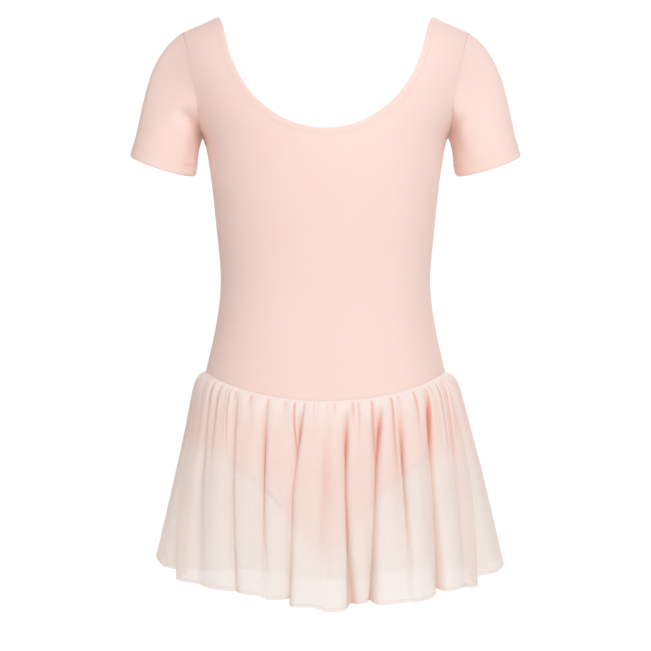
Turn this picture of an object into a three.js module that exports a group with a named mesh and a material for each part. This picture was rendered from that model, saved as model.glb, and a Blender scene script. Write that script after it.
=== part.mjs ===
// Girl's ballet dress: a short-sleeved stretch leotard with a wide scoop neck and a sheer gathered skirt,
// sewn into a hip seam that dips at the centre. It keeps the hollow shape that it has when worn.
// Millimetres, +Z up, the front faces -Y and +X is the wearer's left. The origin is midway between the
// two shoulder seams, on the level where the straps rest on the wearer.
import * as THREE from "three";

// Cloth walls and the gap that separates pieces at a seam.
const WALL = 1;
const SEAM_GAP = 0.3;
const SLEEVE_GAP = 0.5; // a little more where the sleeve turns away from the curved armhole
const HALF_GAP = SEAM_GAP / 2;
const QUARTER_TURN = Math.PI / 2;
const DEGREE = Math.PI / 180;

// Horizontal sections of the worn body, inside the cloth: half width, depth in front and depth behind.
const SECTIONS = [
  { z: -520, half: 125, front: 82, back: 93 },
  { z: -450, half: 126, front: 84, back: 96 },
  { z: -410, half: 124, front: 87, back: 97 },
  { z: -370, half: 119, front: 88, back: 92 },
  { z: -337, half: 113.5, front: 85, back: 84 },
  { z: -311, half: 107.5, front: 82, back: 76 },
  { z: -288, half: 103, front: 79, back: 71 },
  { z: -265, half: 100, front: 77, back: 68 },
  { z: -242, half: 99.5, front: 77, back: 68 },
  { z: -196, half: 103.8, front: 80, back: 73 },
  { z: -158, half: 107.9, front: 82, back: 78 },
  { z: -127, half: 112.4, front: 82, back: 81 },
  { z: -113, half: 115, front: 81, back: 82 },
  { z: -102, half: 119.5, front: 80, back: 82 },
  { z: -75, half: 131, front: 76, back: 80 },
  { z: -39, half: 142, front: 71, back: 76 },
  { z: -13, half: 149, front: 68, back: 73 },
  { z: 20, half: 153, front: 68, back: 73 },
];
const SQUARENESS = 0.09; // how far a section's corners fill out beyond an ellipse

// Shoulders: a ridge that falls outwards, rounded from front to back.
const SHOULDER = { slope: 0.43, levelAt: 105, roundsFrom: -60, neckX: 102, tipX: 136.5 };
// Crotch: the brief rounds under from this height.
const CROTCH = { roundsFrom: -400, bottom: -504, halfWidth: 13 };

// Scoop neck: on each panel an ellipse, lower behind, with a short flare where it meets the shoulder seam.
const NECK = { top: 1.3, flareFade: 12 };
const FRONT_NECK = { halfWidth: 95.5, flare: 6.5, depth: 110 };
const BACK_NECK = { halfWidth: 98.5, flare: 3.5, depth: 141 };

// Armhole seen from the front, from the underarm up to the shoulder tip.
const UNDERARM_Z = -113;
const ARMHOLE = [
  { z: UNDERARM_Z, x: 115 },
  { z: -102, x: 118 },
  { z: -82, x: 119.3 },
  { z: -62, x: 122 },
  { z: -39, x: 128.5 },
  { z: -13.5, x: 136.5 },
];

// Hip seam, hem and leg line, at the side and how far they dip at the centre.
const HIP_SEAM = { sideZ: -337, frontDip: 26, backDip: 22, sharpness: 2 };
const HEM = { sideZ: -520, frontDip: 26, backDip: 23, sharpness: 1.3, foldSway: 0.2, hangBlend: 0.15 };
const LEG = { sideZ: -412, sideX: 124, frontCurve: 2.2, backCurve: 1.35 };

// Sleeve: its hem is an oval, square to the arm, with its front edge a little lower. The rises say how much
// it leaves the armhole sideways at the underarm, so that the armpit is a soft web, and at the top.
const SLEEVE = {
  hemOuter: { x: 186.3, z: -130 },
  hemInner: { x: 125.6, z: -149.5 },
  hemDepth: 31,
  frontDrop: 5.5,
  webRise: 0.3,
  webFrom: 0.07,
  webTo: 0.5,
  capRise: 0.75,
  capPull: 0.35,
  hemPull: 0.36,
  rows: 8,
};

// Skirt: it puffs out just below the seam, then flares evenly to the hem. Each of the two is its value at
// the centre, what is added at the sides, and what the left side has more and the right side less.
const PUFF = { centre: 10, sides: -3.1, skew: 1.1, fade: 0.03 };
const FLARE = { centre: 40, sides: 2.75, skew: 0.75 };
const SKIRT = { gatherDegrees: 6.6, columnsPerGather: 4 };
const GATHER = { atSeam: 0.7, below: 1.7, swellsBy: 0.05, fadesBy: 0.34 };
const SKIRT_ROWS = [0, 0.03, 0.08, 0.15, 0.24, 0.36, 0.5, 0.66, 0.83, 1];

// Folds of the skirt, one row each. top and hem are degrees round from the centre (of the front or of the
// back) at the seam and at the hem, upper and lower are depths in mm at 0.4 of the way down and at the hem.
// crown is how far the stretch after the fold stands out, and hang how much lower its hem hangs, in mm.
const FRONT_FOLDS = [
  { top: -90, hem: -90, upper: 3, lower: 3, crown: -1, hang: -8 },
  { top: -78, hem: -56.5, upper: 9, lower: 15, crown: 4, hang: -4.5 },
  { top: -58, hem: -45, upper: 3, lower: 2, crown: 4.5, hang: -4 },
  { top: -40, hem: -31, upper: 7, lower: 4, crown: 5, hang: -4 },
  { top: -25, hem: -21, upper: 7, lower: 2, crown: 4, hang: 1 },
  { top: -9.8, hem: -12.2, upper: 10, lower: 17, crown: 5, hang: 4 },
  { top: 0.5, hem: -2, upper: 3.5, lower: 1.5, crown: 4, hang: 9 },
  { top: 7.5, hem: 7.4, upper: 9, lower: 9, crown: 4.5, hang: 5 },
  { top: 22, hem: 15.8, upper: 12, lower: 18, crown: 4.5, hang: 3.5 },
  { top: 31, hem: 29, upper: 7, lower: 2, crown: 5, hang: 5 },
  { top: 46.5, hem: 41, upper: 11, lower: 16, crown: 4, hang: 0.5 },
  { top: 61, hem: 51, upper: 4, lower: 3, crown: 4.5, hang: 3 },
  { top: 71, hem: 57.5, upper: 7, lower: 10, crown: 4, hang: -3 },
  { top: 90, hem: 90, upper: 0, lower: 0, crown: 0, hang: -1 },
];
const BACK_FOLDS = [
  { top: -90, hem: -90, upper: 3, lower: 3, crown: -1, hang: -4 },
  { top: -74, hem: -71, upper: 8, lower: 13, crown: 5, hang: 0 },
  { top: -58, hem: -54, upper: 5, lower: 4, crown: 4, hang: 2 },
  { top: -44, hem: -38, upper: 10, lower: 16, crown: 4.5, hang: -3 },
  { top: -29, hem: -26, upper: 6, lower: 3, crown: 4.5, hang: -2 },
  { top: -16, hem: -15, upper: 9, lower: 14, crown: 5, hang: 4 },
  { top: -2, hem: 1, upper: 6, lower: 6, crown: 4, hang: 6 },
  { top: 12, hem: 17, upper: 11, lower: 17, crown: 4.5, hang: -1 },
  { top: 27, hem: 28, upper: 5, lower: 3, crown: 5, hang: -3 },
  { top: 40, hem: 42, upper: 9, lower: 13, crown: 4, hang: 1 },
  { top: 57, hem: 56, upper: 6, lower: 5, crown: 4.5, hang: 2 },
  { top: 75, hem: 70, upper: 9, lower: 14, crown: 4, hang: -3 },
  { top: 90, hem: 90, upper: 0, lower: 0, crown: 0, hang: -1 },
];
const FOLD = { fullBy: 0.4, topWidth: 3, hemWidth: 9 };

// Columns and rows of cloth in half a panel. Columns are counted from the side seam to the centre. The
// chest line parts the bodice's wide rows from those between armhole and neck, and splitX does so on the
// brief, where the leg line turns down to the crotch.
const BODICE = { holeColumns: 4, holeRows: 7, shoulder: 3, neck: 11, rows: 9 };
const CHEST_LINE = { centreZ: -152, bow: 1.2, spread: 1.75 };
const BRIEF = { legColumns: 15, legRows: 5, crotch: 3, rows: 5, splitX: 21 };
const FINE_STEPS = 240; // along an edge that is then divided into even lengths

// A smooth curve through one column of a table, as a function of its z column.
function curveThrough(rows, column) {
  const slopes = rows.map((row, i) => {
    const low = rows[Math.max(i - 1, 0)];
    const high = rows[Math.min(i + 1, rows.length - 1)];
    return (high[column] - low[column]) / (high.z - low.z);
  });
  return (z) => {
    const upper = rows.findIndex((row) => row.z > z);
    const i = upper < 0 ? rows.length - 2 : Math.max(upper - 1, 0);
    const span = rows[i + 1].z - rows[i].z;
    const t = THREE.MathUtils.clamp((z - rows[i].z) / span, 0, 1);
    const rise = t * t * (3 - 2 * t);
    return (
      rows[i][column] * (1 - rise) +
      rows[i + 1][column] * rise +
      span * t * (1 - t) * (slopes[i] * (1 - t) - slopes[i + 1] * t)
    );
  };
}

const halfWidthAt = curveThrough(SECTIONS, "half");
const frontDepthAt = curveThrough(SECTIONS, "front");
const backDepthAt = curveThrough(SECTIONS, "back");
const armholeXAt = curveThrough(ARMHOLE, "x");

// Height of the shoulder ridge at a distance from the centre.
const ridgeZ = (x) => SHOULDER.slope * (SHOULDER.levelAt - Math.abs(x));
const TIP_Z = ridgeZ(SHOULDER.tipX);

// 1 over the chest, falling to 0 on the shoulder ridge along a quarter ellipse.
function shoulderRounding(x, z) {
  const rise = (z - SHOULDER.roundsFrom) / (ridgeZ(x) - SHOULDER.roundsFrom);
  const share = THREE.MathUtils.clamp(rise, 0, 1);
  return Math.sqrt(1 - share * share);
}

// 1 over the hips, falling to 0 under the crotch along a quarter ellipse.
function crotchRounding(z) {
  const fall = (CROTCH.roundsFrom - z) / (CROTCH.roundsFrom - CROTCH.bottom);
  const share = THREE.MathUtils.clamp(fall, 0, 1);
  return Math.sqrt(1 - share * share);
}

// Side to side place of the section at an angle round from the centre front.
const sideways = (angle, z) =>
  halfWidthAt(z) * Math.sin(angle) * (1 + SQUARENESS * Math.cos(angle) ** 2);

// A point of the body's surface, at an angle round from the centre front and a height.
function bodyPoint(angle, z) {
  const forward = Math.cos(angle);
  const depth = forward > 0 ? frontDepthAt(z) : backDepthAt(z);
  const x = sideways(angle, z);
  const y = -depth * forward * (1 + SQUARENESS * Math.sin(angle) ** 2);
  return new THREE.Vector3(x, y * shoulderRounding(x, z) * crotchRounding(z), z);
}

// The angle round from the centre front at which the section reaches x, by halving.
function angleAtX(x, z) {
  let low = 0;
  let high = QUARTER_TURN;
  for (let step = 0; step < 40; step += 1) {
    const middle = (low + high) / 2;
    if (sideways(middle, z) < Math.abs(x)) low = middle;
    else high = middle;
  }
  return Math.sign(x) * low;
}

// Height of the hip seam or the hem: it dips towards the centre front and the centre back. The hem also
// hangs a little lower on a fold's crown than in its valley.
function dippedZ(edge, angle) {
  const dip = Math.cos(angle) > 0 ? edge.frontDip : edge.backDip;
  return edge.sideZ - dip * Math.abs(Math.cos(angle)) ** edge.sharpness;
}

// Unit normals of a grid of points, facing out of the body. A wrapped grid closes on itself, and where a
// column is shorter than its neighbour the slope is taken on the side that is there.
function gridNormals(grid, wrapped) {
  const count = grid.length;
  return grid.map((column, i) =>
    column.map((point, j) => {
      const previous = wrapped ? grid[(i + count - 1) % count] : grid[i - 1];
      const following = wrapped ? grid[(i + 1) % count] : grid[i + 1];
      const before = previous?.[j] ?? point;
      const after = following?.[j] ?? point;
      const below = column[j - 1] ?? point;
      const above = column[j + 1] ?? point;
      const across = new THREE.Vector3().subVectors(after, before);
      const along = new THREE.Vector3().subVectors(above, below);
      return across.cross(along).normalize();
    }),
  );
}

// A closed wall between two grids of points, outer and inner, with a rim round each free edge.
function wallGeometry(outer, inner, wrapped) {
  const columns = outer.length;
  const starts = [0];
  outer.forEach((column, i) => starts.push(starts[i] + column.length));
  const layer = starts[columns];
  const positions = [...outer.flat(), ...inner.flat()].flatMap((p) => [p.x, p.y, p.z]);
  const faces = [];
  const edges = new Map();
  for (let i = 0; i < (wrapped ? columns : columns - 1); i += 1) {
    const next = (i + 1) % columns;
    const rows = Math.min(outer[i].length, outer[next].length) - 1;
    for (let j = 0; j < rows; j += 1) {
      const ring = [starts[i] + j, starts[next] + j, starts[next] + j + 1, starts[i] + j + 1];
      const [a, b, c, d] = ring;
      faces.push(a, b, c, a, c, d);
      faces.push(layer + a, layer + c, layer + b, layer + a, layer + d, layer + c);
      ring.forEach((from, k) => edges.set(`${from},${ring[(k + 1) % 4]}`, [from, ring[(k + 1) % 4]]));
    }
  }
  edges.forEach(([from, to]) => {
    if (edges.has(`${to},${from}`)) return;
    faces.push(from, layer + from, layer + to, from, layer + to, to);
  });
  const geometry = new THREE.BufferGeometry();
  geometry.setAttribute("position", new THREE.Float32BufferAttribute(positions, 3));
  geometry.setIndex(faces);
  geometry.computeVertexNormals();
  return geometry;
}

// An edge of a panel is a list of places on the body, each an angle round from the panel's own centre and
// a height.
const mixed = (a, b, share) => ({
  angle: THREE.MathUtils.lerp(a.angle, b.angle, share),
  z: THREE.MathUtils.lerp(a.z, b.z, share),
});

// Places at even lengths along an edge that is given as a function of a share from 0 to 1.
function evenPlaces(edgeAt, count) {
  const fine = Array.from({ length: FINE_STEPS + 1 }, (_, k) => edgeAt(k / FINE_STEPS));
  const lengths = [0];
  fine.slice(1).forEach((place, k) => {
    const step = bodyPoint(place.angle, place.z).distanceTo(bodyPoint(fine[k].angle, fine[k].z));
    lengths.push(lengths[k] + step);
  });
  return Array.from({ length: count + 1 }, (_, i) => {
    const wanted = (lengths[FINE_STEPS] * i) / count;
    const k = Math.max(1, lengths.findIndex((length) => length >= wanted - 1e-9));
    return mixed(fine[k - 1], fine[k], (wanted - lengths[k - 1]) / (lengths[k] - lengths[k - 1]));
  });
}

// Half a panel as a grid. Its wide part runs from the hip seam to the split line. Its narrow part goes on
// from the inner stretch of that line, along the flank, to the far edge.
function halfPanel(hip, split, flank, far, rows) {
  const cut = split.length - far.length;
  const flankRows = flank.length - 1;
  return split.map((place, i) => {
    const column = Array.from({ length: rows + 1 }, (_, j) => mixed(hip[i], place, j / rows));
    if (i < cut) return column;
    const inwards = (i - cut) / (far.length - 1);
    for (let j = 1; j <= flankRows; j += 1) {
      const share = (flank[j].z - flank[0].z) / (flank[flankRows].z - flank[0].z);
      const straight = mixed(split[cut], far[0], share);
      const inside = mixed(place, far[i - cut], share);
      column.push({
        angle: inside.angle + (1 - inwards) * (flank[j].angle - straight.angle),
        z: inside.z + (1 - inwards) * (flank[j].z - straight.z),
      });
    }
    return column;
  });
}

// Moves the points that lie on the side, shoulder and crotch seams half a gap into the panel, keeps the
// wall square to the seam there, and gives the cloth its thickness. The grid is the wall's inner face.
function seamWall(grid, side) {
  const normals = gridNormals(grid, false);
  grid.forEach((column, i) =>
    column.forEach((point, j) => {
      if (-side * point.y > HALF_GAP) return;
      point.y = -side * HALF_GAP;
      normals[i][j].setY(0).normalize();
    }),
  );
  const outer = grid.map((column, i) =>
    column.map((point, j) => point.clone().addScaledVector(normals[i][j], WALL)),
  );
  return wallGeometry(outer, grid, false);
}

// A leotard panel from its half: side is 1 for a front and -1 for a back, and fromHip is 1 where the rows
// go up from the hip seam and -1 where they go down.
function leotardPanel(half, side, fromHip) {
  const points = half.map((column) =>
    column.map(({ angle, z }) => bodyPoint(side > 0 ? angle : Math.PI - angle, z)),
  );
  const mirrored = points.map((column) => column.map((p) => new THREE.Vector3(-p.x, p.y, p.z)));
  const whole = [...mirrored, ...points.slice(0, -1).reverse()];
  return seamWall(side * fromHip > 0 ? whole : whole.reverse(), side);
}

// Places of the hip seam from the side to the centre, half a gap above or below its line.
function hipSeam(columns, side, gap) {
  return Array.from({ length: columns + 1 }, (_, i) => {
    const angle = THREE.MathUtils.lerp(QUARTER_TURN, 0, i / columns);
    return { angle, z: dippedZ(HIP_SEAM, side > 0 ? angle : Math.PI - angle) + gap };
  });
}

const atX = (x, z) => ({ angle: angleAtX(x, z), z });

// The armhole from the underarm to the shoulder tip, at a share of its height's swing.
function armholeAt(share) {
  const z = THREE.MathUtils.lerp(UNDERARM_Z, TIP_Z, (1 - Math.cos(Math.PI * share)) / 2);
  return share > 0 ? atX(armholeXAt(z), z) : { angle: QUARTER_TURN, z };
}
const ARMHOLE_PLACES = evenPlaces(armholeAt, BODICE.holeColumns + BODICE.holeRows);

// The shoulder seam from the tip to the neck point.
function shoulderAt(share) {
  const x = THREE.MathUtils.lerp(SHOULDER.tipX, SHOULDER.neckX, share);
  return atX(x, ridgeZ(x));
}

// The neck's edge from the shoulder seam to the centre.
function neckAt(share, { halfWidth, flare, depth }) {
  const fall = Math.sin(QUARTER_TURN * share);
  const x = halfWidth * Math.cos(QUARTER_TURN * share) + flare * (1 - fall) ** NECK.flareFade;
  return atX(x, NECK.top - depth * fall);
}

function bodiceGeometry(side) {
  const scoop = side > 0 ? FRONT_NECK : BACK_NECK;
  const shoulder = evenPlaces(shoulderAt, BODICE.shoulder);
  const neck = evenPlaces((share) => neckAt(share, scoop), BODICE.neck);
  const far = [...shoulder.slice(0, -1), ...neck];
  const hole = ARMHOLE_PLACES.slice(0, BODICE.holeColumns + 1);
  const flank = ARMHOLE_PLACES.slice(BODICE.holeColumns);
  const across = far.map((_, k) => {
    const share = k / (far.length - 1);
    const centreZ = CHEST_LINE.centreZ - (scoop.depth - FRONT_NECK.depth);
    return {
      angle: THREE.MathUtils.lerp(flank[0].angle, 0, share ** CHEST_LINE.spread),
      z: THREE.MathUtils.lerp(flank[0].z, centreZ, share ** CHEST_LINE.bow),
    };
  });
  const split = [...hole, ...across.slice(1)];
  const hip = hipSeam(split.length - 1, side, HALF_GAP);
  return leotardPanel(halfPanel(hip, split, flank, far, BODICE.rows), side, 1);
}

// The leg line from the side seam to the corner of the crotch.
function legAt(share, side) {
  const x = THREE.MathUtils.lerp(LEG.sideX, CROTCH.halfWidth, share);
  const curve = side > 0 ? LEG.frontCurve : LEG.backCurve;
  const z = THREE.MathUtils.lerp(LEG.sideZ, CROTCH.bottom, share ** curve);
  return share > 0 ? atX(x, z) : { angle: QUARTER_TURN, z };
}

function briefGeometry(side) {
  const turn = (LEG.sideX - BRIEF.splitX) / (LEG.sideX - CROTCH.halfWidth);
  const leg = evenPlaces((share) => legAt(share * turn, side), BRIEF.legColumns);
  const flank = evenPlaces((share) => legAt(turn + share * (1 - turn), side), BRIEF.legRows);
  const inwards = (place, k) => ({ angle: place.angle * (1 - k / BRIEF.crotch), z: place.z });
  const crotch = Array.from({ length: BRIEF.crotch + 1 }, (_, k) => k);
  const far = crotch.map((k) => inwards(flank[BRIEF.legRows], k));
  const split = [...leg.slice(0, -1), ...crotch.map((k) => inwards(flank[0], k))];
  const hip = hipSeam(split.length - 1, side, -HALF_GAP);
  return leotardPanel(halfPanel(hip, split, flank, far, BRIEF.rows), side, -1);
}

// Outward normal of the body's surface, from small steps over it.
function bodyNormal(angle, z) {
  const step = 0.01;
  const across = bodyPoint(angle + step, z).sub(bodyPoint(angle - step, z));
  const along = bodyPoint(angle, z + step).sub(bodyPoint(angle, z - step));
  return across.cross(along).normalize();
}

// The ring that the left sleeve is sewn to: round the armhole from the underarm, over the front, to the
// shoulder tip and down the back. Each place has a point of the body, its normal there and the direction
// that leads out of the bodice in its own surface.
function armholeRing() {
  const half = ARMHOLE_PLACES.length - 1;
  const ring = Array.from({ length: 2 * half }, (_, k) => {
    const { angle, z } = ARMHOLE_PLACES[k <= half ? k : 2 * half - k];
    const turned = k <= half ? angle : Math.PI - angle;
    if (k === 0) return { point: bodyPoint(turned, z), normal: new THREE.Vector3(1, 0, 0) };
    if (k < half || k > half) return { point: bodyPoint(turned, z), normal: bodyNormal(turned, z) };
    const upwards = new THREE.Vector3(SHOULDER.slope, 0, 1).normalize();
    return { point: new THREE.Vector3(SHOULDER.tipX, 0, z), normal: upwards };
  });
  return ring.map(({ point, normal }, k) => {
    const following = ring[(k + 1) % ring.length].point;
    const previous = ring[(k + ring.length - 1) % ring.length].point;
    const outwards = following.clone().sub(previous).cross(normal).normalize();
    return { point, normal, outwards };
  });
}

// The middle of the sleeve's wall where it starts and its normal there, clear of the bodice for the angle
// at which it leaves. Past a quarter turn it folds back over the bodice's outer face.
function sleeveStart({ point, normal, outwards }, leaving) {
  const fold = Math.atan2(leaving.dot(normal), leaving.dot(outwards));
  const facing = normal.clone().multiplyScalar(Math.cos(fold)).addScaledVector(outwards, -Math.sin(fold));
  const start = point.clone();
  if (Math.abs(fold) > QUARTER_TURN) {
    start.addScaledVector(normal, WALL).addScaledVector(facing, -SLEEVE_GAP - WALL / 2);
    start.addScaledVector(leaving, -WALL / 2);
  } else {
    start.addScaledVector(normal, WALL / 2);
    start.addScaledVector(outwards, SLEEVE_GAP + (WALL / 2) * Math.abs(Math.sin(fold)));
  }
  return { start, facing };
}

// A place of the sleeve's hem, at an angle round from the underarm towards the front.
function sleeveHemPoint(angle, centre, across, down) {
  const front = Math.sin(angle);
  return centre
    .clone()
    .addScaledVector(across, -Math.cos(angle))
    .addScaledVector(new THREE.Vector3(0, -1, 0), SLEEVE.hemDepth * front)
    .addScaledVector(down, SLEEVE.frontDrop * front);
}

function sleeveGeometry(side) {
  const outer = new THREE.Vector3(SLEEVE.hemOuter.x, 0, SLEEVE.hemOuter.z);
  const inner = new THREE.Vector3(SLEEVE.hemInner.x, 0, SLEEVE.hemInner.z);
  const centre = outer.clone().add(inner).multiplyScalar(0.5);
  const across = outer.clone().sub(centre);
  const down = new THREE.Vector3(across.z, 0, -across.x).normalize();
  const ring = armholeRing();
  const startNormals = [];
  const middle = ring.map((place, k) => {
    const angle = (2 * Math.PI * k) / ring.length;
    const end = sleeveHemPoint(angle, centre, across, down);
    const toEnd = end.clone().sub(place.point);
    const length = toEnd.length();
    const topShare = (1 - Math.cos(angle)) / 2;
    const turned = THREE.MathUtils.smoothstep(topShare, SLEEVE.webFrom, SLEEVE.webTo);
    const aside = new THREE.Vector3(1, 0, 0).lerp(place.outwards, turned);
    const rise = SLEEVE.webRise * (1 - topShare) + SLEEVE.capRise * topShare ** 2;
    const leaving = toEnd.normalize().lerp(aside, rise).normalize();
    const { start, facing } = sleeveStart(place, leaving);
    startNormals.push(facing);
    const curve = new THREE.CubicBezierCurve3(
      start,
      start.clone().addScaledVector(leaving, SLEEVE.capPull * length),
      end.clone().addScaledVector(down, -SLEEVE.hemPull * length),
      end,
    );
    return curve.getSpacedPoints(SLEEVE.rows).reverse();
  });
  const normals = gridNormals(middle, true);
  normals.forEach((column, k) => column.splice(SLEEVE.rows, 1, startNormals[k]));
  const moved = (distance) =>
    middle.map((column, i) => column.map((p, j) => p.clone().addScaledVector(normals[i][j], distance)));
  const flip = (points) => points.map((column) => column.map((p) => new THREE.Vector3(-p.x, p.y, p.z)));
  if (side > 0) return wallGeometry(moved(WALL / 2), moved(-WALL / 2), true);
  return wallGeometry(flip(moved(WALL / 2)).reverse(), flip(moved(-WALL / 2)).reverse(), true);
}

// Depth of a fold at a share of the way down the skirt.
function foldDepth(fold, down) {
  if (down < FOLD.fullBy) return fold.upper * Math.sin((QUARTER_TURN * down) / FOLD.fullBy);
  return THREE.MathUtils.lerp(fold.upper, fold.lower, (down - FOLD.fullBy) / (1 - FOLD.fullBy));
}

// Height of the small gathers at a share of the way down: low at the seam, fuller below it, then gone.
function gatherHeight(down) {
  const { atSeam, below, swellsBy, fadesBy } = GATHER;
  if (down < swellsBy) return THREE.MathUtils.lerp(atSeam, below, down / swellsBy);
  return below * (1 - THREE.MathUtils.smoothstep(down, swellsBy, fadesBy));
}

// The lines of the cloth that run down a skirt panel: how far each lies between two folds, how low it
// hangs, which passes smoothly from one stretch to the next, and its place in the wave of the gathers.
function skirtLines(folds) {
  const lines = [];
  folds.slice(1).forEach((next, k) => {
    const fold = folds[k];
    const before = folds[Math.max(k - 1, 0)];
    const gathers = Math.max(1, Math.round((next.top - fold.top) / SKIRT.gatherDegrees));
    const steps = gathers * SKIRT.columnsPerGather;
    for (let step = 0; step < steps; step += 1) {
      const share = step / steps;
      const settled = 0.5 + 0.5 * Math.min(1, share / HEM.hangBlend);
      const leaving = 0.5 * Math.max(0, 1 - (1 - share) / HEM.hangBlend);
      const own = THREE.MathUtils.lerp(before.hang, fold.hang, settled);
      const hang = THREE.MathUtils.lerp(own, next.hang, k < folds.length - 2 ? leaving : 0);
      lines.push({ fold, next, share, hang, wave: (2 * Math.PI * step * gathers) / steps });
    }
  });
  const last = folds[folds.length - 1];
  lines.push({ fold: last, next: last, share: 0, hang: last.hang, wave: 0 });
  return lines;
}

// How far out of its mean surface a line of the skirt lies, at a share of the way down.
function skirtRelief(line, down, radius) {
  const { fold, next, share, wave } = line;
  const lean = (f) => THREE.MathUtils.lerp(f.top, f.hem, down) * DEGREE;
  const gap = (lean(next) - lean(fold)) * radius;
  const width = THREE.MathUtils.lerp(FOLD.topWidth, FOLD.hemWidth, down);
  const valley = (f, distance) => foldDepth(f, down) * Math.exp(-((distance / width) ** 2));
  const sunk = valley(fold, share * gap) + (next === fold ? 0 : valley(next, (1 - share) * gap));
  const crown = fold.crown * Math.min(1, 2 * down) * Math.sin(Math.PI * share) ** 2;
  return crown - sunk - gatherHeight(down) * Math.cos(wave);
}

// A value of the skirt at a turn round from the centre front, from its centre, sides and skew.
function sidedValue({ centre, sides, skew }, angle) {
  const aside = Math.sin(angle);
  return centre + sides * aside ** 2 + skew * aside * Math.abs(aside);
}

function skirtGeometry(side) {
  const folds = side > 0 ? FRONT_FOLDS : BACK_FOLDS;
  const clearance = WALL + SEAM_GAP + GATHER.atSeam;
  const grid = skirtLines(folds).map((line) => {
    const { fold, next, share } = line;
    const topAngle = THREE.MathUtils.lerp(fold.top, next.top, share) * DEGREE;
    const hemAngle = THREE.MathUtils.lerp(fold.hem, next.hem, share) * DEGREE;
    const column = SKIRT_ROWS.map((down) => {
      const own = THREE.MathUtils.lerp(topAngle, hemAngle, down);
      const angle = side > 0 ? own : Math.PI - own;
      const seamZ = dippedZ(HIP_SEAM, angle) - HALF_GAP;
      const seam = bodyPoint(angle, seamZ);
      const radius = Math.hypot(seam.x, seam.y);
      const out = bodyNormal(angle, seamZ).setZ(0).normalize();
      const puff = sidedValue(PUFF, angle) * (1 - Math.exp(-down / PUFF.fade));
      const spread = puff + sidedValue(FLARE, angle) * down;
      const relief = skirtRelief(line, down, radius + spread);
      const hemZ = dippedZ(HEM, angle) - line.hang - HEM.foldSway * relief;
      seam.z = THREE.MathUtils.lerp(seamZ, hemZ, down);
      return seam.addScaledVector(out, clearance + spread + relief);
    });
    return column.reverse();
  });
  if (side < 0) grid.reverse();
  return seamWall(grid, side);
}

function clothMaterial(color, opacity) {
  const sheer = opacity < 1;
  const look = { color, roughness: 0.9, metalness: 0, opacity, transparent: sheer };
  return new THREE.MeshStandardMaterial(look);
}

const jersey = clothMaterial(0xf6d3c8, 1);
const chiffon = clothMaterial(0xf7dfd6, 0.55);

function piece(name, geometry, material) {
  const mesh = new THREE.Mesh(geometry, material);
  mesh.name = name;
  return mesh;
}

const dress = new THREE.Group();
dress.add(
  piece("bodice_front", bodiceGeometry(1), jersey),
  piece("bodice_back", bodiceGeometry(-1), jersey),
  piece("brief_front", briefGeometry(1), jersey),
  piece("brief_back", briefGeometry(-1), jersey),
  piece("sleeve_left", sleeveGeometry(1), jersey),
  piece("sleeve_right", sleeveGeometry(-1), jersey),
  piece("skirt_front", skirtGeometry(1), chiffon),
  piece("skirt_back", skirtGeometry(-1), chiffon),
);

export default dress;
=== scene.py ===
"""A girl's ballet dress: a blush stretch leotard with a sheer gathered skirt, in the hollow form of wear.

Every length is in metres and every angle in radians unless its name says degrees. The dress faces -Y, +X is
the wearer's left and the origin lies between the shoulders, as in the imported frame.
"""

import logging
from dataclasses import dataclass, field, replace
from enum import Enum
from math import pi, radians
from typing import ClassVar

import bmesh
import bpy
import numpy as np
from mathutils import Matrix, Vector


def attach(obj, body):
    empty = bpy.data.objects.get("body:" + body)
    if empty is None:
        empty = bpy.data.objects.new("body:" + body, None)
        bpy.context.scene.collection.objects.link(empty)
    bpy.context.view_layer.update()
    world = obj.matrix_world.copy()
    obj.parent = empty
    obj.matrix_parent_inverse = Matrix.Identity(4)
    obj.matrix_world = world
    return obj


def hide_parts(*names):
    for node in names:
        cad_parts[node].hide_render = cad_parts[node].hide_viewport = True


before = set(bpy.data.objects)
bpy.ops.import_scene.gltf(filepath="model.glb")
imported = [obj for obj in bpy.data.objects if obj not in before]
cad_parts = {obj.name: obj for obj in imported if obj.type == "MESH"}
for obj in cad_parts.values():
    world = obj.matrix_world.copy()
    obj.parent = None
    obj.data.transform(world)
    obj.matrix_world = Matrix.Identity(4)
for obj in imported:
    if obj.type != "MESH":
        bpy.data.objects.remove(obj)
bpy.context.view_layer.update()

MM = 0.001
ROOT = "root"
HALF_TURN = pi
QUARTER_TURN = pi / 2
LOG = logging.getLogger("dress")

Array = np.ndarray


class Side(Enum):
    """The half of the dress that a panel covers."""

    FRONT = 1
    BACK = -1

    def turned(self, angle: Array) -> Array:
        """Turns from this side's own centre as turns from the centre front."""
        return angle if self is Side.FRONT else HALF_TURN - angle

    def own(self, pair: tuple[float, float]) -> float:
        """This side's one of two values, the front's first."""
        return pair[0 if self is Side.FRONT else 1]


class Hand(Enum):
    """The arm that a sleeve covers, by the sign of its X."""

    LEFT = 1
    RIGHT = -1


def smooth_curve(places: Array, values: Array, at: Array) -> Array:
    """Cubic curve through a table, with each slope taken from the two neighbours.

    Args:
        places: rising places of the rows.
        values: the curve's value in each row.
        at: where the curve is wanted.

    Returns:
        The values there, held to the first and last rows outside the table.
    """
    low = np.maximum(np.arange(len(places)) - 1, 0)
    high = np.minimum(np.arange(len(places)) + 1, len(places) - 1)
    slopes = (values[high] - values[low]) / (places[high] - places[low])
    i = np.clip(np.searchsorted(places, at, side="right") - 1, 0, len(places) - 2)
    span = places[i + 1] - places[i]
    t = np.clip((at - places[i]) / span, 0, 1)
    rise = t * t * (3 - 2 * t)
    bend = span * t * (1 - t) * (slopes[i] * (1 - t) - slopes[i + 1] * t)
    return values[i] * (1 - rise) + values[i + 1] * rise + bend


def smooth_step(low: float, high: float, at: Array) -> Array:
    """Zero below low, one above high, and a smooth rise between."""
    t = np.clip((at - low) / (high - low), 0, 1)
    return t * t * (3 - 2 * t)


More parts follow.
